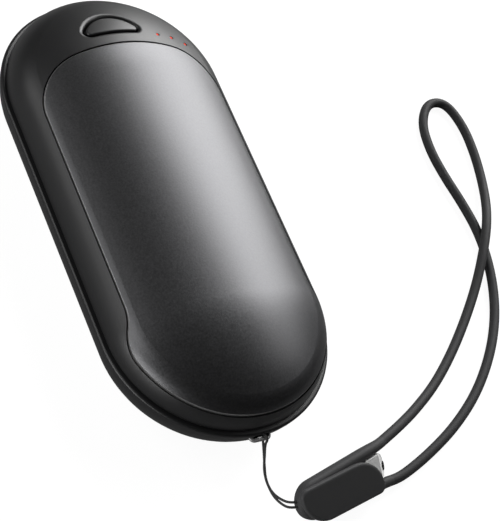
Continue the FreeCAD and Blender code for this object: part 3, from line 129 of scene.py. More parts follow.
class RimGroup:
    """The shared shader group that finds the rounded edges of the crowned front."""

    NAME = "crown_rim"
    SIZES = ("Half Length", "Crown Height", "Side Start", "Side Reach", "Side Height")
    COSINES = ("Flat", "Leaning")

    @classmethod
    def get(cls) -> bpy.types.ShaderNodeTree:
        """Builds the group the first time and returns it.

        The front is a round bar with ball ends and a smaller rounding along its sides, so that its own
        normal is known at every place, and a surface that leans away from it is an edge. Flat and
        Leaning are the cosines of the lean at which the edge begins and is full.

        Returns:
            The node tree with a mask output that is 1 on an edge.
        """
        tree = bpy.data.node_groups.get(cls.NAME)
        if tree:
            return tree
        tree = bpy.data.node_groups.new(cls.NAME, "ShaderNodeTree")
        for name in cls.SIZES + cls.COSINES:
            tree.interface.new_socket(name, in_out="INPUT", socket_type="NodeSocketFloat")
        tree.interface.new_socket("Mask", in_out="OUTPUT", socket_type="NodeSocketFloat")
        add, link = tree.nodes.new, tree.links.new
        given, result = add("NodeGroupInput"), add("NodeGroupOutput")
        split = add("ShaderNodeSeparateXYZ")
        link(add("ShaderNodeTexCoord").outputs["Object"], split.inputs[0])

        def reckon(operation: str, *sources: Socket | float) -> Socket:
            """Adds a math node.

            Args:
                operation: What it works out.
                sources: Sockets to join or numbers to set, in order.

            Returns:
                Its result.
            """
            node = add("ShaderNodeMath")
            node.operation = operation
            for socket, source in zip(node.inputs, sources):
                if isinstance(source, Socket):
                    link(source, socket)
                else:
                    socket.default_value = source
            return node.outputs[0]

        beyond = reckon("SUBTRACT", reckon("ABSOLUTE", split.outputs["Y"]), given.outputs["Half Length"])
        past_end = reckon("MULTIPLY", reckon("MAXIMUM", beyond, 0.0), reckon("SIGN", split.outputs["Y"]))
        crown, side = given.outputs["Crown Height"], given.outputs["Side Height"]
        aside = reckon("POWER", split.outputs["X"], 2.0)
        reach = reckon("SQRT", reckon("MULTIPLY_ADD", past_end, past_end, aside))
        on_side = reckon("GREATER_THAN", reach, given.outputs["Side Start"])
        drawn_in = reckon("MULTIPLY", on_side, reckon("DIVIDE", given.outputs["Side Reach"], reach))
        share = reckon("SUBTRACT", 1.0, drawn_in)
        base = reckon("MULTIPLY_ADD", on_side, reckon("SUBTRACT", side, crown), crown)
        outward = add("ShaderNodeCombineXYZ")
        link(reckon("MULTIPLY", split.outputs["X"], share), outward.inputs["X"])
        link(reckon("MULTIPLY", past_end, share), outward.inputs["Y"])
        link(reckon("SUBTRACT", split.outputs["Z"], base), outward.inputs["Z"])
        unit = add("ShaderNodeVectorMath")
        unit.operation = "NORMALIZE"
        link(outward.outputs[0], unit.inputs[0])
        lean = add("ShaderNodeVectorMath")
        lean.operation = "DOT_PRODUCT"
        link(unit.outputs[0], lean.inputs[0])
        link(add("ShaderNodeNewGeometry").outputs["Normal"], lean.inputs[1])
        mask = add("ShaderNodeMapRange")
        link(lean.outputs["Value"], mask.inputs["Value"])
        link(given.outputs["Flat"], mask.inputs["From Min"])
        link(given.outputs["Leaning"], mask.inputs["From Max"])
        link(mask.outputs[0], result.inputs["Mask"])
        return tree


@dataclass(frozen=True)
class Finish:
    """One surface finish with fine grain.

    Grain is the size of a speck in metres and depth the height of its bump.
    """

    name: str
    slot: str
    colour: Colour
    roughness: float
    metallic: float = 0.0
    grain: float = 0.0003
    depth: float = 0.00001
    mottle: float = 0.2
    spread: float = 0.08
    specular: float = 0.5
    glow: Colour = (0.0, 0.0, 0.0)
    glow_strength: float = 0.0

    def material(self) -> bpy.types.Material:
        """Builds the material the first time and returns it.

        Returns:
            The material with the grain group feeding its shader.
        """
        known = bpy.data.materials.get(self.name)
        if known:
            return known
        material = bpy.data.materials.new(self.name)
        material.use_nodes = True
        nodes, link = material.node_tree.nodes, material.node_tree.links.new
        shader = nodes["Principled BSDF"]
        shader.inputs["Metallic"].default_value = self.metallic
        shader.inputs["Specular IOR Level"].default_value = self.specular
        shader.inputs["Emission Color"].default_value = rgba(self.glow)
        shader.inputs["Emission Strength"].default_value = self.glow_strength
        grain = nodes.new("ShaderNodeGroup")
        grain.node_tree = GrainGroup.get()
        grain.inputs["Colour"].default_value = rgba(self.colour)
        grain.inputs["Scale"].default_value = 1.0 / self.grain
        grain.inputs["Mottle"].default_value = self.mottle
        grain.inputs["Roughness"].default_value = self.roughness
        grain.inputs["Spread"].default_value = self.spread
        bump = nodes.new("ShaderNodeBump")
        bump.inputs["Strength"].default_value = 1.0
        bump.inputs["Distance"].default_value = self.depth
        colour, roughness = self.surface(material.node_tree, grain)
        link(colour, shader.inputs["Base Color"])
        link(roughness, shader.inputs["Roughness"])
        link(grain.outputs["Height"], bump.inputs["Height"])
        link(bump.outputs["Normal"], shader.inputs["Normal"])
        return material

    def surface(self, tree: bpy.types.ShaderNodeTree, grain: bpy.types.Node) -> tuple[Socket, Socket]:
        """Passes the grain on as it is.

        Args:
            tree: The material's node tree.
            grain: The grain group's node.

        Returns:
            The sockets that give colour and roughness.
        """
        return grain.outputs["Colour"], grain.outputs["Roughness"]

    def dress(self, piece: bpy.types.Object) -> None:
        """Gives a piece this finish.

        Args:
            piece: The object to paint.
        """
        piece.data.materials.clear()
        piece.data.materials.append(self.material())


@dataclass(frozen=True)
class EdgeHighlightFinish(Finish):
    """A finish whose rounded edges on the crowned front get a light colour as a painted highlight and a lower
    roughness, with sizes in millimetres.
    """

    rim_highlight_colour: Colour = (0.5, 0.5, 0.5)
    rim_roughness: float = 0.3
    half_length: float = CROWN_END
    crown_height: float = CROWN_BASE
    side_start: float = 19.56
    side_reach: float = 15.85
    side_height: float = 11.8
    flat: float = 0.985
    leaning: float = 0.94

    def surface(self, tree: bpy.types.ShaderNodeTree, grain: bpy.types.Node) -> tuple[Socket, Socket]:
        """Mixes the painted edge highlight's colour and the edge's own roughness into the grain's.

        Args:
            tree: The material's node tree.
            grain: The grain group's node.

        Returns:
            The sockets that give colour and roughness.
        """
        rim = tree.nodes.new("ShaderNodeGroup")
        rim.node_tree = RimGroup.get()
        sizes = (self.half_length, self.crown_height, self.side_start, self.side_reach, self.side_height)
        for name, size in zip(RimGroup.SIZES, sizes):
            rim.inputs[name].default_value = size * MM
        rim.inputs["Flat"].default_value = self.flat
        rim.inputs["Leaning"].default_value = self.leaning
        colour = tree.nodes.new("ShaderNodeMix")
        colour.data_type = "RGBA"
        roughness = tree.nodes.new("ShaderNodeMix")
        colour_in = [socket for socket in colour.inputs if socket.enabled]
        roughness_in = [socket for socket in roughness.inputs if socket.enabled]
        tree.links.new(grain.outputs["Colour"], colour_in[1])
        tree.links.new(grain.outputs["Roughness"], roughness_in[1])
        colour_in[2].default_value = rgba(self.rim_highlight_colour)
        roughness_in[2].default_value = self.rim_roughness
        for inputs in (colour_in, roughness_in):
            tree.links.new(rim.outputs["Mask"], inputs[0])
        colour_out, roughness_out = (next(socket for socket in node.outputs if socket.enabled)
                                     for node in (colour, roughness))
        return colour_out, roughness_out


CASE_PLASTIC = Finish("satin_black_plastic", "case_plastic", (0.009, 0.009, 0.0095), 0.41, grain=0.0004,
                      depth=4e-6)
# The plate's rounded edges are painted light grey: a painted highlight along the edge, with a real lower
# roughness.
PLATE_ANODISED = EdgeHighlightFinish("blasted_black_anodised", "heat_plate", (0.09, 0.09, 0.093), 0.39, metallic=0.9,
                              grain=0.0004, depth=1.2e-5, mottle=0.7, spread=0.2)
BUTTON_PLASTIC = Finish("button_black_plastic", "button_plastic", (0.008, 0.008, 0.0085), 0.36, grain=0.0004,
                        depth=4e-6)
WINDOW_RED = Finish("smoked_red_window", "window_plastic", (0.30, 0.012, 0.006), 0.3, mottle=0.3, spread=0.05,
                    glow=(1.0, 0.06, 0.015), glow_strength=0.35)
LENS_RED = Finish("glowing_red_lens", "window_plastic", (0.35, 0.012, 0.004), 0.5, grain=0.0002, depth=2e-6,
                  mottle=0.3, spread=0.05, specular=0.1, glow=(1.0, 0.05, 0.006), glow_strength=0.8)
# Near-black red for the discs in the indicator windows: painted shade standing in for the recess walls.
WELL_PAINTED_SHADE = Finish("painted_shade_red_well", "window_plastic", (0.004, 0.001, 0.001), 0.8, grain=0.0002, depth=2e-6,
                   specular=0.02)
BEAD_SILICONE = Finish("dark_silicone", "strap_silicone", (0.048, 0.048, 0.049), 0.6, grain=0.0009,
                       depth=2e-6, mottle=0.08, specular=0.22)
# The strap is the bead's silicone made darker: painted shade that tones down the light falling on the strap.
STRAP_SILICONE_SHADED = Finish("strap_silicone_painted_shade", "strap_silicone", (0.038, 0.038, 0.039), 0.6, grain=0.0009,
                        depth=2e-6, mottle=0.08, specular=0.18)
CORE_PLASTIC = Finish("pale_core_plastic", "core_plastic", (0.92, 0.92, 0.91), 0.45, grain=0.0006, depth=3e-6,
                      mottle=0.06, spread=0.1)
# Near-black lining for the bead's hole: painted shade standing in for the hole's shadowed inside.
HOLE_SHADE_LINING = Finish("painted_shade_hole_lining", "strap_silicone", (0.012, 0.012, 0.012), 0.6, specular=0.2)
TETHER_BRAID = Finish("black_braid", "tether_braid", (0.035, 0.035, 0.035), 0.7, grain=0.00012, depth=1e-5,
                      mottle=1.2)
BAIL_METAL = Finish("blackened_steel", "bail_metal", (0.40, 0.40, 0.40), 0.5, metallic=0.7, grain=0.0002,
                    depth=3e-6, mottle=0.4, spread=0.2)

SOCKET_TIN = Finish("socket_tin", "socket_steel", (0.60, 0.60, 0.61), 0.25, metallic=1.0)

INNER_FINISHES: dict[Finish, tuple[str, ...]] = {
    Finish("clear_adhesive", "adhesive", (0.55, 0.50, 0.40), 0.6): ("plate_adhesive",),
    Finish("amber_film", "heater_film", (0.45, 0.18, 0.03), 0.35): ("heater_film",),
    Finish("grey_foam", "insulation", (0.30, 0.30, 0.30), 0.9, grain=0.0005, depth=1e-4, mottle=0.7): (
        "insulation_pad",),
    Finish("sensor_glass", "sensor", (0.05, 0.05, 0.06), 0.3): ("thermistor",),
    Finish("cell_wrap", "cell_sleeve", (0.05, 0.16, 0.35), 0.35): ("battery_cell_left", "battery_cell_right"),
    Finish("nickel_sheet", "nickel", (0.55, 0.53, 0.48), 0.3, metallic=1.0): (
        "nickel_strip_positive", "nickel_strip_negative"),
    Finish("cradle_white", "cradle_plastic", (0.60, 0.60, 0.58), 0.5): ("cell_cradle",),
    Finish("board_green", "board", (0.02, 0.12, 0.05), 0.4): ("circuit_board",),
    Finish("chip_resin", "chip", (0.02, 0.02, 0.02), 0.45): ("controller_chip", "mosfet"),
    Finish("ferrite_grey", "ferrite", (0.10, 0.10, 0.10), 0.6): ("inductor",),
    Finish("ceramic_tan", "ceramic", (0.40, 0.30, 0.20), 0.5): ("board_passives",),
    Finish("led_resin", "led", (0.70, 0.62, 0.45), 0.3): ("led_1", "led_2", "led_3"),
    Finish("zinc_steel", "screw_steel", (0.55, 0.55, 0.57), 0.3, metallic=1.0): (
        "case_screws", "board_screws"),
    SOCKET_TIN: ("usb_socket_shell", "switch_cover"),
    Finish("socket_black", "socket_plastic", (0.02, 0.02, 0.02), 0.45): (
        "usb_tongue", "switch_base", "switch_plunger"),
    Finish("red_insulation", "red_lead", (0.45, 0.02, 0.02), 0.4): ("battery_lead_positive",),
    Finish("black_insulation", "black_lead", (0.02, 0.02, 0.02), 0.4): ("battery_lead_negative",),
    Finish("white_insulation", "white_lead", (0.65, 0.65, 0.65), 0.4): (
        "heater_lead_left", "heater_lead_right"),
}


def linked(name: str, data: bpy.types.ID) -> bpy.types.Object:
    """Makes an object and links it to the scene.

    Args:
        name: The object's name.
        data: Its mesh, curve, light or camera.

    Returns:
        The new object.
    """
    made = bpy.data.objects.new(name, data)
    bpy.context.scene.collection.objects.link(made)
    return made


def evaluated_mesh(source: bpy.types.Object) -> bpy.types.Mesh:
    """Reads the shape that an object has after its modifiers.

    Args:
        source: The object to evaluate.

    Returns:
        The shape as a new mesh.
    """
    bpy.context.view_layer.update()
    graph = bpy.context.evaluated_depsgraph_get()
    return bpy.data.meshes.new_from_object(source.evaluated_get(graph))


def plain_piece(name: str, source: bpy.types.Object) -> bpy.types.Object:
    """Turns an object with its modifiers into a new object with a plain mesh.

    Args:
        name: The new piece's name.
        source: The object to evaluate.

    Returns:
        The new piece, linked to the scene.
    """
    mesh = evaluated_mesh(source)
    mesh.name = name
    return linked(name, mesh)


def merged_shape(node: str) -> bmesh.types.BMesh:
    """Copies a solid's mesh and joins the corners that its faces share.

    Args:
        node: The solid's name.

    Returns:
        The copy, to be freed by the caller.
    """
    shape = bmesh.new()
    shape.from_mesh(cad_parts[node].data)
    bmesh.ops.remove_doubles(shape, verts=shape.verts, dist=MERGE_DISTANCE)
    return shape


def worked_piece(name: str, shape: bmesh.types.BMesh) -> bpy.types.Object:
    """Turns a working mesh into a new object and frees it.

    Args:
        name: The new piece's name.
        shape: The working mesh.

    Returns:
        The new piece, linked to the scene.
    """
    mesh = bpy.data.meshes.new(name)
    shape.to_mesh(mesh)
    shape.free()
    return linked(name, mesh)


class NodeShape:
    """A Geometry Nodes tree that grows a plain mesh from a few given points."""

    def __init__(self, name: str, inputs: dict[str, tuple[str, object]]) -> None:
        """Starts the tree with its named inputs.

        Args:
            name: The tree's name.
            inputs: Each input's socket type and value by its name.
        """
        self.tree = bpy.data.node_groups.new(name, "GeometryNodeTree")
        face = self.tree.interface
        face.new_socket("Geometry", in_out="INPUT", socket_type="NodeSocketGeometry")
        self.values = {}
        for label, (kind, value) in inputs.items():
            socket = face.new_socket(label, in_out="INPUT", socket_type=kind)
            self.values[socket.identifier] = value
        face.new_socket("Geometry", in_out="OUTPUT", socket_type="NodeSocketGeometry")
        self.given = self.tree.nodes.new("NodeGroupInput").outputs
        self.result = self.tree.nodes.new("NodeGroupOutput")

    def add(self, kind: str, inputs: dict[str | int, object], **choices: str) -> Socket:
        """Adds a node, sets its choices and fills its inputs.

        Args:
            kind: The node's type.
            inputs: A socket to join or a plain value to set, by the input's name or place.
            choices: Properties of the node.

        Returns:
            The new node's first output in use.
        """
        node = self.tree.nodes.new(kind)
        for choice, value in choices.items():
            setattr(node, choice, value)
        for place, source in inputs.items():
            if isinstance(source, Socket):
                self.tree.links.new(source, node.inputs[place])
            else:
                node.inputs[place].default_value = source
        return next(socket for socket in node.outputs if socket.enabled)

    def math(self, operation: str, *sources: object) -> Socket:
        """Adds a math node and returns its result."""
        return self.add("ShaderNodeMath", dict(enumerate(sources)), operation=operation)

    def vector(self, operation: str, first: object, second: object) -> Socket:
        """Adds a vector node that works on two vectors, or scales one, and returns its result."""
        place = "Scale" if operation == "SCALE" else 1
        return self.add("ShaderNodeVectorMath", {0: first, place: second}, operation=operation)

    def close(self, shape: Socket) -> None:
        """Ends the tree by realizing its instances and setting the material.

        Args:
            shape: The geometry that was made.
        """
        real = self.add("GeometryNodeRealizeInstances", {"Geometry": shape})
        painted = self.add("GeometryNodeSetMaterial", {"Geometry": real, "Material": self.given["Material"]})
        self.tree.links.new(painted, self.result.inputs[0])

    def grow(self, name: str, seed: bpy.types.Mesh) -> bpy.types.Object:
        """Runs the tree on a mesh and keeps the result as a plain mesh.

        Args:
            name: The new piece's name.
            seed: The mesh that the tree starts from.

        Returns:
            The new piece, not yet tied to a body.
        """
        maker = linked(name + "_seed", seed)
        modifier = maker.modifiers.new(self.tree.name, "NODES")
        modifier.node_group = self.tree
        for identifier, value in self.values.items():
            modifier[identifier] = value
        piece = plain_piece(name, maker)
        bpy.data.objects.remove(maker)
        piece.data.shade_smooth()
        return piece


@dataclass
class Case:
    """The case, its heated plate, the button and the indicator lights, with sizes in millimetres.

    Each lens sits toward the near side, the camera's lower left, on a dark disc painted as its recess's
    shade.
    """

    lens_places: tuple[Point, ...] = ((9.52, 36.06, 21.61), (12.93, 35.52, 20.76), (16.12, 34.21, 19.80))
    crown_centre: Point = (0.0, CROWN_END, CROWN_BASE)
    shade_disc_radius: float = 0.62
    shade_disc_dome: float = 0.13
    lens_radius: float = 0.36
    lens_dome: float = 0.18
    lens_shift: float = 0.17
    near_side: Point = (-0.986, -0.464, -0.902)
    dome_segments: int = 24
    dome_rings: int = 12
    painted: dict[str, Finish] = field(default_factory=lambda: {
        "back_shell": CASE_PLASTIC,
        "front_frame": CASE_PLASTIC,
        "heat_plate": PLATE_ANODISED,
        "button_cap": BUTTON_PLASTIC,
        "light_guide": WINDOW_RED,
        "lanyard_bail": BAIL_METAL,
    })

    def dress(self) -> None:
        """Paints the outer solids."""
        for node, finish in self.painted.items():
            finish.dress(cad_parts[node])
            log.info("case: %s", node)

    def build_lights(self) -> None:
        """Sets a dark disc in each indicator window as painted shade for its recess, and a small red lens
        against its near side.
        """
        self.build_domes("window_shade_discs", WELL_PAINTED_SHADE, self.shade_disc_radius, self.shade_disc_dome, 0.0)
        self.build_domes("window_lenses", LENS_RED, self.lens_radius, self.lens_dome, self.lens_shift)

    def build_domes(self, name: str, finish: Finish, radius: float, height: float, shift: float) -> None:
        """Sets the same low dome on the crown at each indicator.

        Args:
            name: The piece's name.
            finish: The domes' finish.
            radius: A dome's radius.
            height: A dome's height over the crown.
            shift: How far a dome lies from its window's middle, along the near side.
        """
        seed = bpy.data.meshes.new(name + "_places")
        upward = [(Vector(place) - Vector(self.crown_centre)).normalized() for place in self.lens_places]
        places = []
        for place, normal in zip(self.lens_places, upward):
            near = Vector(self.near_side)
            near = (near - normal * near.dot(normal)).normalized()
            places.append((Vector(place) + near * shift) * MM)
        seed.from_pydata(places, [], [])
        facing = seed.attributes.new("facing", "FLOAT_VECTOR", "POINT")
        for row, normal in zip(facing.data, upward):
            row.vector = normal
        shape = NodeShape(name + "_row", {
            "Radius": ("NodeSocketFloat", radius * MM),
            "Dome": ("NodeSocketFloat", height * MM),
            "Material": ("NodeSocketMaterial", finish.material()),
        })
        ball = shape.add("GeometryNodeMeshUVSphere", {
            "Segments": self.dome_segments, "Rings": self.dome_rings, "Radius": 1.0})
        wide = shape.given["Radius"]
        size = shape.add("ShaderNodeCombineXYZ", {0: wide, 1: wide, 2: shape.given["Dome"]})
        dome = shape.add("GeometryNodeTransform", {"Geometry": ball, "Scale": size})
        outward = shape.add("GeometryNodeInputNamedAttribute", {"Name": "facing"}, data_type="FLOAT_VECTOR")
        turn = shape.add("FunctionNodeAlignRotationToVector", {"Vector": outward}, axis="Z")
        shape.close(shape.add("GeometryNodeInstanceOnPoints", {
            "Points": shape.given["Geometry"], "Instance": dome, "Rotation": turn}))
        domes = shape.grow(name, seed)
        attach(domes, "case")
        log.info("case: %s", domes.name)


@dataclass
class Inside:
    """Cells, board, heater, switch and leads inside the case, with sizes in millimetres.

    The switch's dome is a copy of its solid's mesh with the shared corners joined.
    """

    dome_foot: Point = (-0.75, 39.0, 13.2)
    dome_keep: float = 0.66

    def dress(self) -> None:
        """Paints the inner solids."""
        for finish, nodes in INNER_FINISHES.items():
            for node in nodes:
                finish.dress(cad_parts[node])
                log.info("inside: %s", node)

    def build_dome(self) -> None:
        """Makes the switch's dome as a skin copied from its solid."""
        dome = worked_piece("snap_dome", merged_shape("switch_dome"))
        SOCKET_TIN.dress(dome)
        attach(dome, "case")
        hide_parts("switch_dome")
        Vector(self.dome_foot) * MM
        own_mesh(dome)
        log.info("inside: %s", dome.name)


@dataclass
class CordRun:
    """One cord of the lanyard as a round curve along its route, in millimetres."""

    name: str
    node: str
    route: list[Point]
    radius: float
    length: float
    finish: Finish
    softness: Softness
    bevel_steps: int = 7

    def line(self) -> bpy.types.Curve:
        """Lays the route's smooth line, with no thickness yet.

        Returns:
            The line as a new curve.
        """
        curve = bpy.data.curves.new(self.name, "CURVE")
        curve.dimensions = "3D"
        spline = curve.splines.new("NURBS")
        spline.points.add(len(self.route) - 1)
        for point, place in zip(spline.points, self.route):
            point.co = (*(size * MM for size in place), 1.0)
        spline.order_u = 3
        spline.use_endpoint_u = True
        spline.resolution_u = 8
        return curve

    def path(self) -> bpy.types.Mesh:
        """Reads the points of the smooth line.

        Returns:
            The points in a mesh of short edges.
        """
        runner = linked(self.name + "_runner", self.line())
        mesh = evaluated_mesh(runner)
        bpy.data.objects.remove(runner)
        return mesh

    def build(self) -> None:
        """Builds the cord and ties it to the case."""
        curve = self.line()
        curve.bevel_depth = self.radius * MM
        curve.bevel_resolution = self.bevel_steps
        curve.use_fill_caps = True
        piece = linked(self.name, curve)
        self.finish.dress(piece)
        self.declare(piece, None)

    def declare(self, piece: bpy.types.Object, path: list[Vector] | None) -> None:
        """Ties the cord to the case and hides its solid.

        Args:
            piece: The cord's object.
            path: Not used.
        """
        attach(piece, "case")
        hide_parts(self.node)
        tuple(size * MM for size in self.route[0])
        log.info("cord: %s", self.name)


@dataclass
class BraidedCord(CordRun):
    """A cord braided from strands that wind both ways round a plain core."""

    strands: int = 10
    turns: float = 24.0
    samples: int = 900
    strand_share: float = 0.3
    weave_share: float = 0.07
    core_share: float = 0.62
    strand_sides: int = 6
    core_sides: int = 10

    def braid(self, material: bpy.types.Material) -> NodeShape:
        """Builds the tree that lays the strands along a line.

        Args:
            material: The braid's material.

        Returns:
            The finished tree.
        """
        radius = self.radius * MM
        shape = NodeShape("braid", {
            "Strands": ("NodeSocketInt", self.strands),
            "Turns": ("NodeSocketFloat", self.turns),
            "Samples": ("NodeSocketInt", self.samples),
            "Winding Radius": ("NodeSocketFloat", radius * (1 - self.strand_share)),
            "Strand Radius": ("NodeSocketFloat", radius * self.strand_share),
            "Weave": ("NodeSocketFloat", radius * self.weave_share),
            "Core Radius": ("NodeSocketFloat", radius * self.core_share),
            "Material": ("NodeSocketMaterial", material),
        })
        given = shape.given
        line = shape.add("GeometryNodeMeshToCurve", {"Mesh": given["Geometry"]})
        line = shape.add("GeometryNodeResampleCurve", {"Curve": line, "Count": given["Samples"]},
                         mode="COUNT")
        starts = shape.add("GeometryNodeMeshLine", {"Count": given["Strands"], "Offset": (0.0, 0.0, 0.0)})
        number = shape.add("GeometryNodeInputIndex", {})
        starts = shape.add("GeometryNodeStoreNamedAttribute",
                           {"Geometry": starts, "Name": "strand", "Value": number},
                           data_type="FLOAT", domain="POINT")
        copies = shape.add("GeometryNodeInstanceOnPoints", {"Points": starts, "Instance": line})
        copies = shape.add("GeometryNodeRealizeInstances", {"Geometry": copies})
        strand = shape.add("GeometryNodeInputNamedAttribute", {"Name": "strand"}, data_type="FLOAT")
        way = shape.math("MULTIPLY_ADD", shape.math("MODULO", strand, 2.0), -2.0, 1.0)
        pairs = shape.math("DIVIDE", given["Strands"], 2.0)
        share = shape.math("DIVIDE", shape.math("FLOOR", shape.math("DIVIDE", strand, 2.0)), pairs)
        along = shape.math("MULTIPLY", shape.add("GeometryNodeSplineParameter", {}), given["Turns"])
        turn = shape.math("MULTIPLY", shape.math("MULTIPLY_ADD", along, way, share), math.tau)
        wave = shape.math("COSINE", shape.math("MULTIPLY", shape.math("MULTIPLY", along, pairs), math.tau))
        lift = shape.math("MULTIPLY", shape.math("MULTIPLY", wave, way), given["Weave"])
        reach = shape.math("ADD", lift, given["Winding Radius"])
        side = shape.add("GeometryNodeInputNormal", {})
        across = shape.vector("CROSS_PRODUCT", shape.add("GeometryNodeInputTangent", {}), side)
        offset = shape.vector(
            "ADD",
            shape.vector("SCALE", side, shape.math("MULTIPLY", shape.math("COSINE", turn), reach)),
            shape.vector("SCALE", across, shape.math("MULTIPLY", shape.math("SINE", turn), reach)))
        wound = shape.add("GeometryNodeSetPosition", {"Geometry": copies, "Offset": offset})
        tubes = []
        for run, size, sides in ((wound, "Strand Radius", self.strand_sides),
                                 (line, "Core Radius", self.core_sides)):
            ring = shape.add("GeometryNodeCurvePrimitiveCircle", {"Resolution": sides, "Radius": given[size]})
            tubes.append(shape.add("GeometryNodeCurveToMesh", {
                "Curve": run, "Profile Curve": ring, "Fill Caps": True}))
        joined = shape.add("GeometryNodeJoinGeometry", {"Geometry": tubes[1]})
        shape.tree.links.new(tubes[0], joined.node.inputs["Geometry"])
        shape.close(joined)
        return shape

    def build(self) -> None:
        """Braids the cord and ties it to the case."""
        path = self.path()
        points = [vertex.co.copy() for vertex in path.vertices]
        piece = self.braid(self.finish.material()).grow(self.name, path)
        self.declare(piece, points)


STRAP = CordRun("strap_cord", "wrist_strap", [
    (26.53, -58.68, 6.19), (27.90, -58.33, 6.24), (30.40, -57.25, 5.85), (34.50, -55.45, 4.95),
    (38.30, -53.65, 3.95), (42.30, -51.65, 3.00), (50.50, -46.90, 1.75),
    (58.90, -40.40, 1.14), (67.00, -32.80, 1.14), (73.90, -25.10, 2.00), (79.40, -17.00, 3.90),
    (83.40, -11.00, 3.90), (87.40, -5.00, 2.20), (90.40, 1.80, 1.14), (92.10, 9.00, 1.14),
    (92.90, 16.80, 1.14), (91.30, 23.90, 1.14), (86.05, 24.40, 1.14), (81.60, 18.80, 1.14),
    (80.20, 11.40, 1.14), (80.50, 4.00, 1.14), (81.60, -3.80, 1.14), (82.00, -11.80, 1.14),
    (80.60, -20.00, 1.14), (77.80, -28.20, 1.14), (73.50, -36.10, 1.14), (67.60, -43.60, 1.14),
    (60.00, -50.80, 1.14), (51.00, -56.80, 1.14), (42.30, -61.00, 1.14), (35.90, -63.50, 1.14),
    (32.40, -64.50, 1.25), (29.30, -64.82, 1.58), (27.82, -65.04, 1.65),
], radius=1.1, length=237.2, finish=STRAP_SILICONE_SHADED, softness=Softness.MEDIUM)

TETHER = BraidedCord("tether_line", "tether_cord", [
    (5.89, -65.39, 4.53), (4.28, -65.12, 4.42), (3.30, -63.73, 3.60), (2.42, -62.00, 3.20),
    (2.06, -60.02, 3.30), (1.89, -58.16, 4.10), (1.80, -56.73, 5.40), (1.80, -55.49, 7.00),
    (1.70, -54.50, 8.30), (1.60, -53.88, 9.58), (1.60, -53.88, 10.42), (1.60, -53.15, 10.84),
    (1.60, -52.42, 10.42), (1.60, -52.42, 9.58), (1.90, -52.90, 8.45), (2.20, -53.75, 7.20),
    (2.35, -54.95, 5.95), (2.22, -56.90, 4.60), (2.28, -58.49, 3.30), (2.55, -60.38, 2.50),
    (2.95, -62.65, 2.30), (3.71, -64.79, 2.90), (4.47, -65.96, 3.72), (5.92, -66.21, 3.99),
], radius=0.26, length=37.8, finish=TETHER_BRAID, softness=Softness.LIMP)


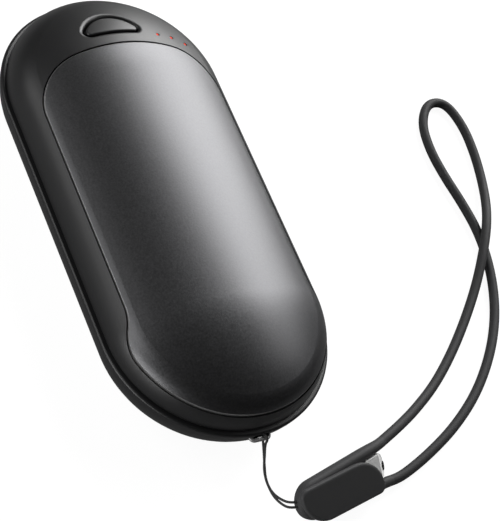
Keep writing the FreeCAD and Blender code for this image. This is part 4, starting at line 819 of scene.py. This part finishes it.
@dataclass
class Bead:
    """The moulded silicone bead, whose two arms run on into the strap, in millimetres in its own frame.

    The hole shade's profile is a list of radius and height along the hole through the core's slope; it is a
    dark lining set in the hole as painted shade.
    """

    centre: Point = (16.05, -65.0, 5.15)
    yaw: float = 11.5
    tilt: float = 35.0
    splay: float = 3.5
    bend: float = -6.15
    arm_middle: float = 2.875
    arm_half_width: float = 1.175
    arm_half_height: float = 1.5
    sleeve_start: float = 6.5
    sleeve_full: float = 8.3
    sleeve_end: float = 14.5
    arm_tip: float = 11.4
    proud: float = 0.02
    ring_sides: int = 32
    ring_step: float = 0.35
    voxel: float = 0.13
    passes: int = 12
    softening: float = 0.5
    slant: float = 40.5
    hole: Point = (12.956, -0.45, -1.5)
    hole_shade_profile: tuple[tuple[float, float], ...] = (
        (0.45, -2.0), (0.84, -2.0), (0.84, 0.0), (0.95, 0.02),
        (0.95, 0.12), (0.88, 0.18), (0.55, 0.14), (0.45, 0.0))

    def turn(self) -> Matrix:
        """Returns the turn from the bead's own frame to the object's."""
        return (Matrix.Rotation(math.radians(self.yaw), 3, "Z")
                @ Matrix.Rotation(math.radians(self.tilt), 3, "X"))

    def arm_line(self, side: int, strap_points: list[Vector]) -> list[Vector]:
        """Follows one arm's middle to its tip and on along the strap.

        Args:
            side: 1 for the upper arm, -1 for the lower one.
            strap_points: Points of the strap's line in metres, from this arm outwards.

        Returns:
            The points in metres.
        """
        slope = math.tan(math.radians(self.splay))
        count = round((self.arm_tip - self.sleeve_start) / self.ring_step)
        points = []
        for step in range(count + 1):
            x = self.sleeve_start + (self.arm_tip - self.sleeve_start) * step / count
            y = self.arm_middle / math.cos(math.radians(self.splay)) + (x - self.bend) * slope
            place = self.turn() @ Vector((x, y * side, -self.arm_half_height))
            points.append((Vector(self.centre) + place) * MM)
        reach = (self.sleeve_end - self.arm_tip) * MM
        for point in strap_points:
            far = (point - strap_points[0]).length
            if self.ring_step * MM < far < reach:
                points.append(point)
        return points

    def add_sleeve(self, shape: bmesh.types.BMesh, line: list[Vector], strap_radius: float) -> None:
        """Lofts the arm's section into the strap's round one along a line.

        Args:
            shape: The mesh that the loft is added to.
            line: The points of the loft's middle in metres.
            strap_radius: The strap's radius in millimetres.
        """
        normal = self.turn() @ Vector((0.0, 0.0, 1.0))
        travelled = self.sleeve_start * MM
        rings = []
        for number, place in enumerate(line):
            before, after = line[max(number - 1, 0)], line[min(number + 1, len(line) - 1)]
            ahead = (after - before).normalized()
            across = normal.cross(ahead).normalized()
            upward = ahead.cross(across)
            travelled += (place - before).length
            part = (travelled / MM - self.sleeve_full) / (self.sleeve_end - self.sleeve_full)
            part = min(max(part, 0.0), 1.0)
            blend = part * part * (3.0 - 2.0 * part)
            round_part = self.arm_half_width + (strap_radius - self.arm_half_width) * blend + self.proud
            straight = (self.arm_half_height - self.arm_half_width) * (1.0 - blend)
            ring = []
            for corner in range(self.ring_sides):
                angle = math.tau * (corner + 0.5) / self.ring_sides
                height = math.sin(angle) * round_part + math.copysign(straight, math.sin(angle))
                spoke = across * math.cos(angle) * round_part + upward * height
                ring.append(shape.verts.new(place + spoke * MM))
            rings.append(ring)
        for first, second in zip(rings, rings[1:]):
            for corner in range(self.ring_sides):
                after = (corner + 1) % self.ring_sides
                shape.faces.new((first[corner], first[after], second[after], second[corner]))
        shape.faces.new(rings[0][::-1])
        shape.faces.new(rings[-1])

    def build(self, strap: CordRun) -> None:
        """Builds the bead as one skin with softened edges.

        Args:
            strap: The strap that leaves both arms.
        """
        shape = merged_shape("strap_pod")
        run = [vertex.co.copy() for vertex in strap.path().vertices]
        self.add_sleeve(shape, self.arm_line(1, run), strap.radius)
        self.add_sleeve(shape, self.arm_line(-1, run[::-1]), strap.radius)
        blank = worked_piece("bead_blank", shape)
        skin = blank.modifiers.new("skin", "REMESH")
        skin.mode = "VOXEL"
        skin.voxel_size = self.voxel * MM
        soften = blank.modifiers.new("soften", "SMOOTH")
        soften.factor = self.softening
        soften.iterations = self.passes
        piece = plain_piece("bead_skin", blank)
        bpy.data.objects.remove(blank)
        piece.data.shade_smooth()
        BEAD_SILICONE.dress(piece)
        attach(piece, "case")
        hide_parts("strap_pod")
        log.info("bead: %s", piece.name)

    def build_hole_shade(self) -> None:
        """Turns a dark lining for the hole through the core's slope, painted shade for the hole's inside."""
        slant = math.radians(self.slant)
        outward = self.turn() @ Vector((math.sin(slant), 0.0, math.cos(slant)))
        sideways = self.turn() @ Vector((0.0, 1.0, 0.0))
        across = sideways.cross(outward)
        middle = Vector(self.centre) + self.turn() @ Vector(self.hole)
        shape = bmesh.new()
        rings = []
        for corner in range(self.ring_sides):
            angle = math.tau * corner / self.ring_sides
            spoke = across * math.cos(angle) + sideways * math.sin(angle)
            rings.append([shape.verts.new((middle + spoke * radius + outward * height) * MM)
                          for radius, height in self.hole_shade_profile])
        for first, second in zip(rings, rings[1:] + rings[:1]):
            for number in range(len(self.hole_shade_profile)):
                shape.faces.new((first[number - 1], second[number - 1], second[number], first[number]))
        bmesh.ops.recalc_face_normals(shape, faces=shape.faces)
        piece = worked_piece("core_hole_painted_shade", shape)
        HOLE_SHADE_LINING.dress(piece)
        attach(piece, "case")
        log.info("bead: %s", piece.name)


@dataclass
class Lanyard:
    """The wrist strap, its bead with the pale core, and the thin tether to the case."""

    strap: CordRun = field(default_factory=lambda: STRAP)
    tether: BraidedCord = field(default_factory=lambda: TETHER)
    bead: Bead = field(default_factory=Bead)

    def build(self) -> None:
        """Builds the cords and the bead, and paints the bead's core."""
        self.strap.build()
        self.tether.build()
        self.bead.build(self.strap)
        self.bead.build_hole_shade()
        CORE_PLASTIC.dress(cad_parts["pod_core"])


@dataclass(frozen=True)
class Softbox:
    """A rectangular studio light aimed at the object."""

    name: str
    direction: Point
    distance: float
    width: float
    height: float
    power: float

    def build(self, target: Vector) -> None:
        """Hangs the light and aims it.

        Args:
            target: The place that it shines at.
        """
        data = bpy.data.lights.new(self.name, "AREA")
        data.shape = "RECTANGLE"
        data.size, data.size_y = self.width, self.height
        data.energy = self.power
        lamp = linked(self.name, data)
        toward = Vector(self.direction).normalized()
        lamp.location = target + toward * self.distance
        lamp.rotation_euler = toward.to_track_quat("Z", "Y").to_euler()


@dataclass
class Studio:
    """Floor, light and camera, with sizes in metres.

    The floor is seen at full brightness by the camera and dimmer by mirrored rays.
    """

    floor_half: float = 6.0
    floor_drop: float = 1e-4
    seen_glow: float = 0.94
    mirrored_glow: float = 0.1
    bounce_colour: Colour = (0.8, 0.8, 0.8)
    shadow_colour: Colour = (0.17, 0.17, 0.17)
    surround: float = 0.11
    aim: Point = (0.01, -0.01, 0.012)
    softboxes: tuple[Softbox, ...] = (
        Softbox("back_right_softbox", (0.664, 0.577, 0.475), 0.75, 0.50, 0.53, 7.5),
        Softbox("front_right_fill", (0.780, 0.000, 0.626), 0.75, 0.35, 0.30, 0.85),
        Softbox("left_fill", (-0.751, 0.350, 0.559), 0.8, 0.60, 0.50, 2.3),
        Softbox("left_edge_light", (-0.96, -0.23, 0.15), 0.7, 0.60, 0.14, 2.6),
    )
    eye: Point = (-0.17544, -0.16163, 0.29433)
    right: Point = (0.848, -0.375, 0.3746)
    up: Point = (0.138, 0.8385, 0.5271)
    lens: float = 130.18
    sensor: float = 36.0

    def build(self) -> None:
        """Builds the whole studio."""
        self.build_floor()
        self.build_world()
        for softbox in self.softboxes:
            softbox.build(Vector(self.aim))
        self.build_camera()
        bpy.context.scene.view_settings.view_transform = "Standard"

    @staticmethod
    def seen_mask(tree: bpy.types.ShaderNodeTree) -> Socket:
        """Masks the rays that look straight at, or are mirrored onto, the white surroundings.

        Args:
            tree: The material's or the world's node tree.

        Returns:
            A socket that is 1 for such rays and 0 for the rest.
        """
        path = tree.nodes.new("ShaderNodeLightPath")
        total = path.outputs["Is Camera Ray"]
        for name in ("Is Glossy Ray", "Is Transmission Ray"):
            larger = tree.nodes.new("ShaderNodeMath")
            larger.operation = "MAXIMUM"
            tree.links.new(total, larger.inputs[0])
            tree.links.new(path.outputs[name], larger.inputs[1])
            total = larger.outputs[0]
        return total

    def build_floor(self) -> None:
        """Lays the white floor, which keeps a faint shadow."""
        half = self.floor_half
        corners = [(x * half, y * half, -self.floor_drop) for x, y in ((-1, -1), (1, -1), (1, 1), (-1, 1))]
        mesh = bpy.data.meshes.new("floor")
        mesh.from_pydata(corners, [], [(0, 1, 2, 3)])
        floor = linked("floor", mesh)
        material = bpy.data.materials.new("white_floor")
        material.use_nodes = True
        tree = material.node_tree
        tree.nodes.clear()
        link = tree.links.new
        output = tree.nodes.new("ShaderNodeOutputMaterial")
        mix = tree.nodes.new("ShaderNodeMixShader")
        plain = tree.nodes.new("ShaderNodeBsdfDiffuse")
        plain.inputs["Color"].default_value = rgba(self.bounce_colour)
        glow = tree.nodes.new("ShaderNodeEmission")
        brightness = tree.nodes.new("ShaderNodeMapRange")
        brightness.inputs["To Min"].default_value = self.mirrored_glow
        brightness.inputs["To Max"].default_value = self.seen_glow
        path = tree.nodes.new("ShaderNodeLightPath")
        link(path.outputs["Is Camera Ray"], brightness.inputs["Value"])
        link(brightness.outputs[0], glow.inputs["Strength"])
        shadow = tree.nodes.new("ShaderNodeBsdfDiffuse")
        shadow.inputs["Color"].default_value = rgba(self.shadow_colour)
        both = tree.nodes.new("ShaderNodeAddShader")
        link(glow.outputs[0], both.inputs[0])
        link(shadow.outputs[0], both.inputs[1])
        link(self.seen_mask(tree), mix.inputs["Fac"])
        link(plain.outputs[0], mix.inputs[1])
        link(both.outputs[0], mix.inputs[2])
        link(mix.outputs[0], output.inputs["Surface"])
        mesh.materials.append(material)

    def build_world(self) -> None:
        """Makes dim grey surroundings that are plain white to the camera."""
        world = bpy.data.worlds.new("studio")
        bpy.context.scene.world = world
        world.use_nodes = True
        tree = world.node_tree
        link = tree.links.new
        back = tree.nodes["Background"]
        path = tree.nodes.new("ShaderNodeLightPath")
        level = tree.nodes.new("ShaderNodeMath")
        level.operation = "MAXIMUM"
        level.inputs[1].default_value = self.surround
        link(path.outputs["Is Camera Ray"], level.inputs[0])
        link(level.outputs[0], back.inputs["Strength"])

    def build_camera(self) -> None:
        """Sets the camera at the photograph's viewing angle."""
        data = bpy.data.cameras.new("camera")
        data.lens = self.lens
        data.sensor_width = self.sensor
        data.sensor_fit = "HORIZONTAL"
        camera = linked("camera", data)
        right = Vector(self.right).normalized()
        up = Vector(self.up)
        up = (up - right * up.dot(right)).normalized()
        turn = Matrix((right, up, right.cross(up))).transposed()
        camera.matrix_world = Matrix.Translation(Vector(self.eye)) @ turn.to_4x4()
        bpy.context.scene.camera = camera


def main() -> None:
    """Builds and dresses every sub-assembly in order."""
    logging.basicConfig(level=logging.INFO, format="%(message)s")
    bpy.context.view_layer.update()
    case = Case()
    case.dress()
    case.build_lights()
    inside = Inside()
    inside.dress()
    inside.build_dome()
    Lanyard().build()
    Studio().build()


if __name__ == "__main__":
    main()
